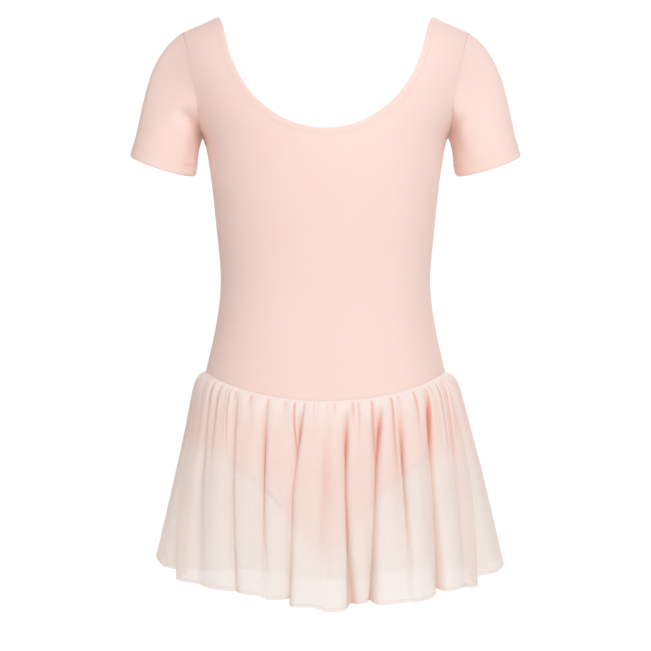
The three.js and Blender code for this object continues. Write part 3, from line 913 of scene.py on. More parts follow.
@dataclass
class Bodice(LeotardPanel):
    """A bodice panel with its armholes, shoulder seams and scooped neck."""

    armhole: Armhole = field(default_factory=Armhole)
    hip: HipSeam = field(default_factory=HipSeam)
    neck_top: float = 0.0013
    neck_x: float = 0.102
    neck_halves: tuple[float, float] = (0.0955, 0.0985)
    neck_depths: tuple[float, float] = (0.110, 0.141)
    neck_flare_fade: int = 12
    chest_z: float = -0.152
    chest_bow: tuple[float, float] = (1.75, 1.2)
    hole_share: float = 0.34
    crowded_share: float = 0.28
    stitches_from: int = 80

    def neck(self, shares: Array) -> Place:
        """The neck's edge: an ellipse with a short flare at the shoulder seam."""
        turn = QUARTER_TURN * self.fine
        half = self.side.own(self.neck_halves)
        x = half * np.cos(turn) + (self.neck_x - half) * (1 - np.sin(turn)) ** self.neck_flare_fade
        z = self.neck_top - self.side.own(self.neck_depths) * np.sin(turn)
        return Place(self.body.angle_at(x, z), z).even(self.body, shares)

    def shoulder(self, shares: Array) -> Place:
        """The shoulder seam from the tip to the neck."""
        x = self.armhole.tip_x + (self.neck_x - self.armhole.tip_x) * self.fine
        z = self.body.ridge(x)
        return Place(self.body.angle_at(x, z), z).even(self.body, shares).on_ridge(self.body)

    def build(self, name: str) -> bpy.types.Object:
        """Makes the panel.

        Args:
            name: the piece's name.

        Returns:
            The panel as a thin shell.
        """
        hole_columns, shoulder_columns, neck_columns = 22, 16, 56
        wide_rows, flank_rows = 72, 48
        rows = dense_ends(wide_rows)
        hole = self.armhole.places(self.body, self.hole_share * dense_start(hole_columns))
        flank_shares = self.hole_share + (1 - self.hole_share) * dense_end(flank_rows)
        flank = self.armhole.places(self.body, flank_shares)
        shoulder = self.shoulder(dense_start(shoulder_columns))
        flank.angle[-1], flank.z[-1] = shoulder.angle[0], shoulder.z[0]
        neck = self.neck(np.linspace(0, 1, neck_columns + 1))
        far = shoulder.then(neck)
        share = np.linspace(0, 1, len(far.z))
        centre_z = self.chest_z - (self.side.own(self.neck_depths) - self.neck_depths[0])
        sideways, downwards = self.chest_bow
        across = Place(
            flank.angle[0] * (1 - share**sideways),
            flank.z[0] + (centre_z - flank.z[0]) * share**downwards,
        )
        split = hole.then(across)
        open_share = self.crowded_share + (1 - self.crowded_share) * share[1:]
        crowded = np.concatenate([self.crowded_share * dense_start(hole_columns), open_share])
        hip = self.hip.places(crowded, self.side, self.seam_gap)
        corner = shoulder_columns / (shoulder_columns + neck_columns)
        half = self.half_places(hip, split, flank, far, rows, corner)
        grid = self.whole(half, hole_columns, wide_rows)
        seams = [
            self.side_seam(self.hip.side_z, self.armhole.heights[0] * MM, 200),
            self.shoulder(self.fine).points(self.body, self.side),
        ]
        armhole = self.armhole.places(self.body, self.fine).points(self.body, self.side)
        neck_line = self.neck(self.fine).points(self.body, self.side)
        self.shell(grid, self.normals(grid, half), seams, neck_line, [armhole])
        self.stitch(neck_line[self.stitches_from :], self.side.value)
        return self.made(grid, name, self.side is Side.BACK)


@dataclass
class Brief(LeotardPanel):
    """A brief panel, from the hip seam to the leg lines and the crotch seam."""

    hip: HipSeam = field(default_factory=HipSeam)
    side_z: float = -0.412
    side_x: float = 0.124
    curves: tuple[float, float] = (2.2, 1.35)
    crotch_half: float = 0.013
    turn_x: float = 0.021
    stitches_between: tuple[int, int] = (40, -200)
    crowding: float = 0.6

    def leg(self, start: float, end: float, shares: Array) -> Place:
        """The leg line between two shares of its width, from the side seam to the crotch's corner."""
        share = start + (end - start) * self.fine
        curve = self.side.own(self.curves)
        x = self.side_x + (self.crotch_half - self.side_x) * share
        z = self.side_z + (self.body.crotch_bottom - self.side_z) * share**curve
        angle = self.body.angle_at(x, z)
        angle = np.where(share <= 0, QUARTER_TURN, angle)
        return Place(angle, z).even(self.body, shares)

    def build(self, name: str) -> bpy.types.Object:
        """Makes the panel.

        Args:
            name: the piece's name.

        Returns:
            The panel as a thin shell.
        """
        leg_columns, crotch_columns, wide_rows, flank_rows = 66, 12, 56, 24
        turn = (self.side_x - self.turn_x) / (self.side_x - self.crotch_half)
        leg = self.leg(0, turn, dense_start(leg_columns, self.crowding))
        flank = self.leg(turn, 1, dense_end(flank_rows, self.crowding))
        inwards = 1 - np.linspace(0, 1, crotch_columns + 1)
        far = Place(flank.angle[-1] * inwards, np.full(crotch_columns + 1, flank.z[-1]))
        middle = Place(flank.angle[0] * inwards, np.full(crotch_columns + 1, flank.z[0]))
        split = leg.then(middle)
        hip = self.hip.places(dense_start(len(split.z) - 1, self.crowding), self.side, -self.seam_gap)
        half = self.half_places(hip, split, flank, far, dense_ends(wide_rows, self.crowding))
        grid = self.whole(half, leg_columns, wide_rows)
        seams = [
            self.hip.places(self.fine, self.side, 0).points(self.body, self.side),
            self.side_seam(self.hip.side_z, self.side_z, 100),
            far.points(self.body, self.side),
        ]
        leg_line = self.leg(0, 1, self.fine).points(self.body, self.side)
        self.shell(grid, self.normals(grid, half), seams, leg_line, [])
        self.stitch(leg_line[slice(*self.stitches_between)], -self.side.value)
        return self.made(grid, name, self.side is Side.FRONT)


@dataclass
class Sleeve:
    """A set-in short sleeve: cubic curves from the armhole to an oval hem, wrapped round the arm."""

    body: BodyForm
    hand: Hand
    armhole: Armhole = field(default_factory=Armhole)
    edges: Edges = field(default_factory=Edges)
    creases: tuple[Crease, ...] = ()
    hem_outer: tuple[float, float] = (0.1863, -0.130)
    hem_inner: tuple[float, float] = (0.1256, -0.1495)
    hem_depth: float = 0.031
    front_drop: float = 0.0055
    web_rise: float = 0.3
    web_range: tuple[float, float] = (0.07, 0.5)
    cap_rise: float = 0.75
    cap_pull: float = 0.35
    hem_pull: float = 0.36
    hem_width: float = 13 * MM
    wall: float = 0.8 * MM
    face: float = 0.45 * MM
    start_lift: tuple[float, float] = (0.5 * MM, 0.7 * MM)
    start_out: float = 0.5 * MM
    sewn_lift: tuple[float, float] = (0.3 * MM, 0.55 * MM)
    sewn_out: float = 0.03 * MM
    sewn_row: float = 0.5 * MM
    folded_back: float = radians(150)
    crowding: float = 0.75
    knit_radius: float = 0.032
    stitch_rows: tuple[float, float] = (0, -1.7 * MM)
    stitches: list[tuple[Array, Array]] = field(default_factory=list)

    def ring(self, columns: int) -> tuple[Array, Array, Array]:
        """Points, normals and outward directions round the armhole, from the underarm over the front."""
        half = columns // 2
        places = self.armhole.places(self.body, np.linspace(0, 1, half + 1))
        angle = np.concatenate([places.angle, HALF_TURN - places.angle[-2:0:-1]])
        z = np.concatenate([places.z, places.z[-2:0:-1]])
        points = self.body.point(angle, z)
        points[0, 1] = 0
        points[half] = (self.armhole.tip_x, 0, z[half])
        normals = self.body.normal(angle, self.body.below_ridge(points[:, 0], z))
        normals[0] = (1, 0, 0)
        normals[half] = unit(np.array([self.body.shoulder_slope, 0, 1]))
        along = unit(np.roll(points, -1, axis=0) - np.roll(points, 1, axis=0))
        return points, normals, unit(np.cross(along, normals))

    def build(self, name: str) -> bpy.types.Object:
        """Makes the sleeve.

        Args:
            name: the piece's name.

        Returns:
            The sleeve as a thin shell, open at both ends.
        """
        columns, rows = 176, 84
        points, normals, outwards = self.ring(columns)
        angle = 2 * pi * np.arange(columns) / columns
        outer, inner = (np.array([x, 0, z]) for x, z in (self.hem_outer, self.hem_inner))
        centre = (outer + inner) / 2
        across = outer - centre
        down = unit(np.array([across[2], 0, -across[0]]))
        front = np.sin(angle)[:, None]
        end = centre - across * np.cos(angle)[:, None] + down * self.front_drop * front
        end = end + np.array([0, -self.hem_depth, 0]) * front
        to_end = end - points
        length = np.linalg.norm(to_end, axis=1, keepdims=True)
        top = ((1 - np.cos(angle)) / 2)[:, None]
        turned = smooth_step(*self.web_range, top)
        aside = np.array([1, 0, 0]) * (1 - turned) + outwards * turned
        rise = self.web_rise * (1 - top) + self.cap_rise * top**2
        leaving = unit(unit(to_end) * (1 - rise) + aside * rise)
        fold = np.arctan2((leaving * normals).sum(1), (leaving * outwards).sum(1))[:, None]
        strong = smooth_step(QUARTER_TURN, self.folded_back, np.abs(fold))
        least, more = self.start_lift
        start = points + normals * (least + more * strong) + outwards * self.start_out * (1 - strong)
        low = 1 - smooth_step(*self.edges.web_range, points[:, 2:])
        least, more = self.sewn_lift
        sewn = points + normals * (least + (more + self.edges.web_rise) * low) + outwards * self.sewn_out
        t = dense_ends(rows, self.crowding)[None, :, None]
        controls = [
            start[:, None],
            (start + leaving * self.cap_pull * length)[:, None],
            (end - down * self.hem_pull * length)[:, None],
            end[:, None],
        ]
        weights = [(1 - t) ** 3, 3 * t * (1 - t) ** 2, 3 * t**2 * (1 - t), t**3]
        surface = sum(weight * control for weight, control in zip(weights, controls))
        surface = surface[:, ::-1]
        outward = grid_normals(surface, wrapped=True)
        lift = np.full(surface.shape[:2], self.face)
        steps = np.linalg.norm(np.diff(surface, axis=1), axis=2)
        from_hem = np.concatenate([np.zeros((columns, 1)), np.cumsum(steps, axis=1)], axis=1)
        lift += self.edges.hem(from_hem, self.hem_width)
        web = self.edges.web(from_hem[:, -1:] - from_hem, points[:, 2:])
        surface = surface + outward * lift[..., None] + normals[:, None] * web[..., None]
        mirror = (self.hand.value, 1, 1)
        for shift in self.stitch_rows:
            distance = self.hem_width - self.edges.stitch_inset + shift
            row = line_at(surface, from_hem, distance)
            facing = line_at(outward, from_hem, distance)
            closed = np.concatenate([row, row[:1]]), np.concatenate([facing, facing[:1]])
            self.stitches.append(tuple(line * mirror for line in closed))
        surface = np.concatenate([surface, sewn[:, None]], axis=1)
        surface = surface + sum(crease.moved(surface) for crease in self.creases)
        from_hem = np.concatenate([from_hem, from_hem[:, -1:] + self.sewn_row], axis=1)
        cloth = np.stack(np.broadcast_arrays(angle[:, None] * self.knit_radius, -from_hem), axis=-1)
        if self.hand is Hand.RIGHT:
            surface = (surface * (-1, 1, 1))[::-1]
            cloth = cloth[::-1]
        thing = ClothGrid(surface, cloth, wrapped=True).build(name)
        thicken(thing, self.wall)
        return thing


@dataclass(frozen=True)
class Fold:
    """A fold of the skirt.

    Attributes:
        top: degrees round from the panel's centre at the seam.
        hem: degrees round at the hem.
        upper: depth in millimetres at 0.4 of the way down.
        lower: depth in millimetres at the hem.
        crown: how far the next stretch stands out, in millimetres.
        hang: how much lower the next stretch's hem hangs, in millimetres.
        lap: overlap in millimetres, above zero where the stretch before lies over the next.
    """

    top: float
    hem: float
    upper: float
    lower: float
    crown: float
    hang: float
    lap: float


FRONT_FOLDS = (
    Fold(-90, -90, 3, 3, -1, -8, 0),
    Fold(-78, -56.5, 9, 15, 4, -4.5, -9),
    Fold(-58, -45, 3, 2, 4.5, -4, 0),
    Fold(-40, -31, 7, 4, 5, -4, -5),
    Fold(-25, -21, 7, 2, 4, 1, -4),
    Fold(-9.8, -12.2, 10, 17, 5, 4, -9),
    Fold(0.5, -2, 3.5, 1.5, 4, 9, 0),
    Fold(7.5, 7.4, 9, 9, 4.5, 5, -6),
    Fold(22, 15.8, 12, 18, 4.5, 3.5, -8),
    Fold(31, 29, 7, 2, 5, 5, -4),
    Fold(46.5, 41, 11, 16, 4, 0.5, -8),
    Fold(61, 51, 4, 3, 4.5, 3, 0),
    Fold(71, 57.5, 7, 10, 4, -3, 7),
    Fold(90, 90, 0, 0, 0, -1, 0),
)
BACK_FOLDS = (
    Fold(-90, -90, 3, 3, -1, -4, 0),
    Fold(-74, -71, 8, 13, 5, 0, -7),
    Fold(-58, -54, 5, 4, 4, 2, 0),
    Fold(-44, -38, 10, 16, 4.5, -3, -8),
    Fold(-29, -26, 6, 3, 4.5, -2, 4),
    Fold(-16, -15, 9, 14, 5, 4, -7),
    Fold(-2, 1, 6, 6, 4, 6, 0),
    Fold(12, 17, 11, 17, 4.5, -1, 9),
    Fold(27, 28, 5, 3, 5, -3, 0),
    Fold(40, 42, 9, 13, 4, 1, -7),
    Fold(57, 56, 6, 5, 4.5, 2, 4),
    Fold(75, 70, 9, 14, 4, -3, 7),
    Fold(90, 90, 0, 0, 0, -1, 0),
)


@dataclass
class Skirt:
    """A gathered skirt panel: the hip seam's line spread out to the hem, with folds and gathers."""

    body: BodyForm
    side: Side
    folds: tuple[Fold, ...]
    hip: HipSeam = field(default_factory=HipSeam)
    hem_side_z: float = -0.520
    hem_dips: tuple[float, float] = (0.026, 0.023)
    hem_sharpness: float = 1.3
    puff: tuple[float, float, float] = (10, -3.1, 1.1)
    puff_fade: float = 0.03
    flare: tuple[float, float, float] = (40, 2.75, 0.75)
    gather_degrees: float = 6.6
    full_by: float = 0.4
    widths: tuple[float, float] = (2.4 * MM, 8.5 * MM)
    columns_per_gather: int = 18
    rows: int = 112
    length: float = 0.2
    seam_length: float = 0.33
    pucker_widths: tuple[float, float] = (3.6, 15.5)
    pucker_heights: tuple[float, float] = (0.8, 2.8)
    pucker_lengths: tuple[float, float] = (9, 95)
    hem_band: float = 3.6 * MM
    cut_depth: float = 9 * MM
    leg: tuple[float, float, float, float] = (0.124, 0.013, -0.412, -0.504)
    leg_curves: tuple[float, float] = (2.2, 1.35)
    leg_blur: float = 16 * MM
    crowding: float = 0.78
    settle: float = 0.15
    clearance: tuple[float, float, float] = (1.0 * MM, 1.6 * MM, 0.0065)
    over_seam: float = 0.25 * MM
    drawn_up: float = 0.2
    cloth_width: float = 0.65
    hung_by: float = 0.12
    hem_edge: float = 0.4 * MM
    stitch_up: float = 0.6 * MM
    arch_power: float = 0.8
    full_lap: float = 6
    lean_in: float = 0.35
    slow_side: float = 1.2
    steep_side: float = 0.42
    flatter: float = 0.5
    lap_range: tuple[float, float] = (0.03, 0.5)
    lap_share: float = 0.8
    # Painted shade in the folds: a band beside each fold's line, on its lapped flank where shade falls,
    # softer on one side, starting where the fold is deeper than the first depth and in full once it is
    # deeper by the second.
    shade_band_aside: float = 0.25
    shade_band_softness: tuple[float, float] = (0.95, 0.4)
    shade_from_depth: float = 2 * MM
    shade_over_depth: float = 5 * MM
    gather_height: tuple[float, float] = (0.15 * MM, 0.35 * MM)
    gather_range: tuple[float, float] = (0.05, 0.36)
    uneven: tuple[float, float] = (0.6, 0.021)
    wander: tuple[float, float] = (1.1 * MM, 0.034)
    wander_range: tuple[float, float] = (0.1, 1.0)
    pucker_rise: float = 2.2 * MM
    # Painted shade in the pucker creases: in full for puckers this high, and starting between these
    # distances below the seam.
    pucker_shade_height: float = 1.5 * MM
    pucker_shade_start: tuple[float, float] = (1.2 * MM, 4.5 * MM)
    seed: int = 5
    stitches: list[tuple[Array, Array]] = field(default_factory=list)

    def lines(self) -> dict[str, Array]:
        """What each line of cloth down the panel is: its two folds, share between them, wave and hang."""
        parts: dict[str, list[Array]] = {key: [] for key in ("k", "share", "wave", "hang")}
        hangs = np.array([fold.hang for fold in self.folds])
        for k in range(len(self.folds) - 1):
            gathers = max(1, round((self.folds[k + 1].top - self.folds[k].top) / self.gather_degrees))
            steps = gathers * self.columns_per_gather
            share = np.arange(steps) / steps
            settled = 0.5 + 0.5 * np.minimum(1, share / self.settle)
            own = hangs[max(k - 1, 0)] * (1 - settled) + hangs[k] * settled
            leaving = 0.5 * np.maximum(0, 1 - (1 - share) / self.settle) * (k < len(self.folds) - 2)
            parts["k"].append(np.full(steps, k))
            parts["share"].append(share)
            parts["wave"].append(2 * pi * gathers * share)
            parts["hang"].append(own + (hangs[k + 1] - own) * leaving)
        ends = {"k": len(self.folds) - 2, "share": 1.0, "wave": 0.0, "hang": hangs[-1]}
        return {key: np.append(np.concatenate(values), ends[key]) for key, values in parts.items()}

    def column(self, name: str) -> Array:
        """One value of every fold."""
        return np.array([getattr(fold, name) for fold in self.folds], dtype=float)

    def depth(self, down: Array, upper: Array, lower: Array) -> Array:
        """Depth of a fold: a quarter sine down to its full depth, then an even change to the hem."""
        early = upper * np.sin(QUARTER_TURN * np.minimum(down / self.full_by, 1))
        late = (lower - upper) * np.clip((down - self.full_by) / (1 - self.full_by), 0, 1)
        return (early + late) * MM

    def build(self, name: str) -> bpy.types.Object:
        """Makes the panel as one sheer sheet.

        Args:
            name: the piece's name.

        Returns:
            The sheet, with the values lined, hung, hem and the painted shade of its folds and creases for
            its finish.
        """
        lines = self.lines()
        k = lines["k"].astype(int)
        share = lines["share"][:, None]
        down = dense_ends(self.rows, self.crowding)[None]
        top, hem = self.column("top"), self.column("hem")
        lean = np.radians(top[:, None] + (hem - top)[:, None] * down)
        turn = lean[k] + (lean[k + 1] - lean[k]) * share
        seam_angle = self.side.turned(turn)
        seam_z = self.hip.height(seam_angle)
        seam = self.body.point(seam_angle, seam_z)
        radius = np.hypot(seam[..., 0], seam[..., 1])
        spread = self.sided(self.puff, seam_angle) * (1 - np.exp(-down / self.puff_fade))
        spread = spread + self.sided(self.flare, seam_angle) * down
        width = self.widths[0] + (self.widths[1] - self.widths[0]) * down
        reach = radius + spread
        relief, shift, fold_shade = self.folded(k, share, lean, down, reach, width)
        puckers, crease_shade = self.puckers(len(k), down)
        relief = relief + self.gathers(lines, down) + puckers
        # Painted shade of the folds and of the pucker creases, together.
        fold_shade = np.clip(fold_shade + crease_shade, 0, 1)
        angle = self.side.turned(turn + shift / reach)
        seam_z = self.hip.height(angle)
        foot = self.body.point(angle, seam_z)
        out = unit(self.body.normal(angle, seam_z) * (1, 1, 0))
        dip = np.where(np.cos(angle) > 0, *self.hem_dips)
        hem_z = self.hem_side_z - dip * np.abs(np.cos(angle)) ** self.hem_sharpness
        hem_z = hem_z - lines["hang"][:, None] * MM - self.drawn_up * relief
        least, more, within = self.clearance
        clearance = least + more * (1 - np.exp(-down / within))
        points = foot + out * (clearance + spread + relief)[..., None]
        points[..., 2] = seam_z + self.over_seam * (1 - down) + (hem_z - seam_z) * down
        down = down + 0 * share
        from_hem = (1 - down) * self.length
        extras = {
            "lined": self.lined(points),
            "hung": 1 - np.exp(-down / self.hung_by),
            "hem": 1 - smooth_step(self.hem_band - self.hem_edge, self.hem_band + self.hem_edge, from_hem),
            # Painted shade, which the finish turns into a deeper, pinker colour.
            "fold_shade": fold_shade,
        }
        cloth_across = np.arange(len(k))[:, None] * (self.cloth_width / len(k)) + 0 * down
        cloth = np.stack([cloth_across, -down * self.length], axis=-1)
        grid = ClothGrid(points, cloth, extras=extras)
        row = line_at(points, -from_hem, -self.hem_band + self.stitch_up)
        facing = line_at(-self.side.value * grid_normals(points), -from_hem, -self.hem_band)
        self.stitches.append((row, facing))
        if self.side is Side.FRONT:
            grid.points, grid.cloth = grid.points[:, ::-1], grid.cloth[:, ::-1]
            grid.extras = {key: values[:, ::-1] for key, values in grid.extras.items()}
        return grid.build(name)

    def folded(self, k, share, lean, down, reach, width) -> tuple[Array, Array, Array]:
        """Relief, sideways shift and painted shade of the folds.

        Each fold sinks the cloth by a bell that is steep on the lapped side and slow on the other. The
        shift runs backwards through its middle, which lays one stretch over the next.

        Args:
            k: the fold before each line.
            share: how far each line lies towards the next fold.
            lean: turn of each fold at each row.
            down: shares of the way down.
            reach: radius of the panel at each point.
            width: half width of a fold at each row.

        Returns:
            Relief outwards, shift sideways, both in metres, and a value of 0 to 1 for the painted shade
            along the folds.
        """
        crowns = self.column("crown")
        middle = (crowns[:-1] + crowns[1:]) / 2
        at_fold = np.concatenate([crowns[:1], middle])
        near = np.where(share[:, 0] < 0.5, k, k + 1)
        own, edge = crowns[k][:, None], at_fold[near][:, None]
        cut = self.depth(down, self.column("upper")[near][:, None], self.column("lower")[near][:, None])
        arch = np.sin(pi * np.clip(share, 0, 1)) ** self.arch_power
        flat = edge + (own - edge) * arch
        deep = np.clip(cut / self.cut_depth, 0, 1)
        relief = flat * (1 - deep * (1 - arch)) * MM * np.minimum(1, 2 * down)
        shift = np.zeros_like(relief)
        fold_shade = np.zeros_like(relief)
        gap = (lean[k + 1] - lean[k]) * reach
        for index, offset in ((k, share * gap), (k + 1, (share - 1) * gap)):
            upper, lower = self.column("upper")[index][:, None], self.column("lower")[index][:, None]
            lap = self.column("lap")[index][:, None]
            sunk = self.depth(down, upper, lower)
            toward = np.where(lap < 0, -1.0, 1.0)
            place = offset * toward / width
            strength = np.minimum(1, np.abs(lap) / self.full_lap)
            flank = place + self.lean_in * strength
            spread = np.where(flank > 0, 1 + self.slow_side * strength, 1 - self.steep_side * strength)
            bell = np.exp(-np.abs(flank / spread) ** (2 + self.flatter * strength))
            relief = relief - sunk * bell
            lapped = np.abs(lap) * MM * smooth_step(*self.lap_range, down)
            shift = shift - toward * place * np.exp(0.5 - place**2 / 2) * lapped * self.lap_share
            # Painted shade: a band beside the fold's line on its shaded, lapped flank, stronger the deeper
            # the fold.
            off_shade_band = flank + self.shade_band_aside * strength
            soft = np.where(off_shade_band > 0, *self.shade_band_softness)
            shade_strength = np.clip((sunk - self.shade_from_depth) / self.shade_over_depth, 0, 1)
            fold_shade = fold_shade + np.exp(-((off_shade_band / soft) ** 2)) * shade_strength
        return relief, shift, np.clip(fold_shade, 0, 1)

    def lined(self, points: Array) -> Array:
        """1 where the leotard lies behind the cloth, and 0 below its leg line, with a blurred edge."""
        side_x, crotch_x, side_z, crotch_z = self.leg
        inwards = np.clip((side_x - np.abs(points[..., 0])) / (side_x - crotch_x), 0, 1)
        curve = self.side.own(self.leg_curves)
        leg_z = side_z + (crotch_z - side_z) * inwards**curve
        return smooth_step(-self.leg_blur, self.leg_blur, points[..., 2] - leg_z)

    def sided(self, values: tuple[float, float, float], angle: Array) -> Array:
        """A value at the centre, what the sides add, and what the left side has more and the right less."""
        aside = np.sin(angle)
        centre, sides, skew = values
        return (centre + sides * aside**2 + skew * aside * np.abs(aside)) * MM

    def gathers(self, lines: dict[str, Array], down: Array) -> Array:
        """Even gathers below the seam, which settle into a slow wander of the cloth further down."""
        along = np.arange(len(lines["wave"])) * (self.seam_length / len(lines["wave"]))
        swell = np.minimum(down / self.gather_range[0], 1)
        least, more = self.gather_height
        height = (least + more * swell) * (1 - smooth_step(*self.gather_range, down))
        amount, length = self.uneven
        uneven = 1 + amount * soft_noise(along, length, self.seed)[:, None]
        amount, length = self.wander
        wander = amount * soft_noise(along, length, self.seed + 4)[:, None]
        wave = height * uneven * np.cos(lines["wave"])[:, None]
        return wander * smooth_step(*self.wander_range, down) - wave

    def puckers(self, count: int, down: Array) -> tuple[Array, Array]:
        """Puckers where the cloth is drawn together: uneven arches with sharp creases between them.

        An arch is a half sine to the power 0.8. It rises in the first millimetres below the seam and
        fades with the square of the way down over its own length.

        Args:
            count: how many lines of cloth run down the panel.
            down: shares of the way down.

        Returns:
            Relief outwards in metres, and a value of 0 to 1 for the painted shade in the creases.
        """
        rng = np.random.default_rng(self.seed)
        least, widest = self.pucker_widths
        most = int(self.seam_length / (least * MM)) + 1
        widths = least + (widest - least) * rng.uniform(0, 1, most) ** 1.7
        edges = np.concatenate([[0], np.cumsum(widths)]) * MM
        heights = rng.uniform(*self.pucker_heights, most) * MM
        lengths = rng.uniform(0, 1, most + 1) ** 2.4
        lengths = (self.pucker_lengths[0] + (self.pucker_lengths[1] - self.pucker_lengths[0]) * lengths) * MM
        along = np.arange(count) * (self.seam_length / count)
        own = np.clip(np.searchsorted(edges, along, side="right") - 1, 0, most - 1)
        share = np.clip((along - edges[own]) / (edges[own + 1] - edges[own]), 0, 1)[:, None]
        fallen = down * self.length
        crease = np.where(share < 0.5, lengths[own][:, None], lengths[own + 1][:, None])
        arch = np.sin(pi * share) ** self.arch_power
        held = (1 - np.exp(-fallen / self.pucker_rise)) * np.exp(-((fallen / crease) ** 2))
        # Painted shade in the narrow creases between the arches, more for higher puckers, from a little
        # below the seam.
        narrow = (1 - np.sin(pi * share)) ** 4
        deep = np.clip(heights[own][:, None] / self.pucker_shade_height, 0.3, 1)
        away = smooth_step(*self.pucker_shade_start, fallen)
        return heights[own][:, None] * (arch - 0.5) * held, narrow * deep * held * away


LEFT_PIT = (
    Crease((110, -126), (131, -96), 6, -4.0, 1),
    Crease((110, -128), (134, -88), 8, -2.0, 2, Side.BACK),
)
RIGHT_PIT = (
    Crease((106, -128), (137, -90), 6.5, -8.0, 2),
    Crease((110, -126), (136, -92), 7, -3.0, -1, Side.BACK),
)
BODICE_CREASES = {
    Side.FRONT: (
        LEFT_PIT[0],
        RIGHT_PIT[0].mirrored(),
        Crease((-106, -122), (-84, -152), 8, -0.8, -2),
        Crease((103, -124), (88, -146), 7, -0.5, 1),
    ),
    Side.BACK: (
        LEFT_PIT[1],
        RIGHT_PIT[1].mirrored(),
        Crease((102, -122), (84, -158), 9, -0.8, 2, Side.BACK),
    ),
}
SLEEVE_CREASES = {
    Hand.LEFT: (*LEFT_PIT, Crease((126, -117), (131, -135), 4, -0.8)),
    Hand.RIGHT: (
        *RIGHT_PIT,
        Crease((128, -118), (131, -152), 3.5, -1.2),
        Crease((128, -120), (132, -150), 4, -0.9, 0, Side.BACK),
    ),
}


@dataclass
class Stitching:
    """Rows of small stitches, each a short rounded bar of thread, joined into one mesh."""

    length: float = 2.3 * MM
    pitch: float = 3.0 * MM
    radius: float = 0.22 * MM
    sides: int = 6
    sections: int = 5
    end_share: float = 0.35
    first_gap: float = 0.15
    sunk: float = 0.45

    def build(self, name: str, rows: list[tuple[Array, Array]]) -> bpy.types.Object:
        """Lays stitches along lines on the cloth.

        A stitch is a bar of ring sections whose radius and height follow a half sine along it.

        Args:
            name: the piece's name.
            rows: lines of points and of unit normals at them.

        Returns:
            The stitches as one mesh.
        """
        parts, faces, base = [], [], 0
        stations = np.linspace(0, 1, self.sections)
        turn = 2 * pi * np.arange(self.sides) / self.sides
        swell = self.end_share + (1 - self.end_share) * np.sin(pi * stations)
        for line, normals in rows:
            lengths = lengths_along(line)
            count = max(1, int(lengths[-1] / self.pitch))
            starts = (np.arange(count) + self.first_gap) * lengths[-1] / count
            at = starts[:, None] + stations * self.length
            middle = np.stack([np.interp(at, lengths, line[:, c]) for c in range(3)], axis=-1)
            up = unit(np.stack([np.interp(at, lengths, normals[:, c]) for c in range(3)], axis=-1))
            along = unit(np.gradient(middle, axis=1))
            aside = np.cross(along, up)
            middle = middle + up * (self.radius * (np.sin(pi * stations) - self.sunk))[None, :, None]
            ring = (
                np.cos(turn)[None, None, :, None] * aside[:, :, None]
                + np.sin(turn)[None, None, :, None] * up[:, :, None]
            ) * (self.radius * swell)[None, :, None, None]
            points = middle[:, :, None] + ring
            index = base + np.arange(points[..., 0].size).reshape(points.shape[:3])
            after = np.roll(index, -1, axis=2)
            bars = np.stack([index[:, :-1], after[:, :-1], after[:, 1:], index[:, 1:]], axis=-1)
            parts.append(points.reshape(-1, 3))
            faces.append(bars.reshape(-1, 4))
            base += points[..., 0].size
        grid = np.concatenate(parts)
        quads = np.concatenate(faces)
        mesh = bpy.data.meshes.new(name)
        mesh.from_pydata(grid.tolist(), [], quads.tolist())
        self.cap(mesh)
        mesh.shade_smooth()
        return placed(name, mesh)

    def cap(self, mesh: bpy.types.Mesh) -> None:
        """Closes the two ends of every stitch."""
        work = bmesh.new()
        work.from_mesh(mesh)
        open_edges = [edge for edge in work.edges if edge.is_boundary]
        bmesh.ops.holes_fill(work, edges=open_edges, sides=self.sides)
        bmesh.ops.recalc_face_normals(work, faces=work.faces)
        work.to_mesh(mesh)
        work.free()


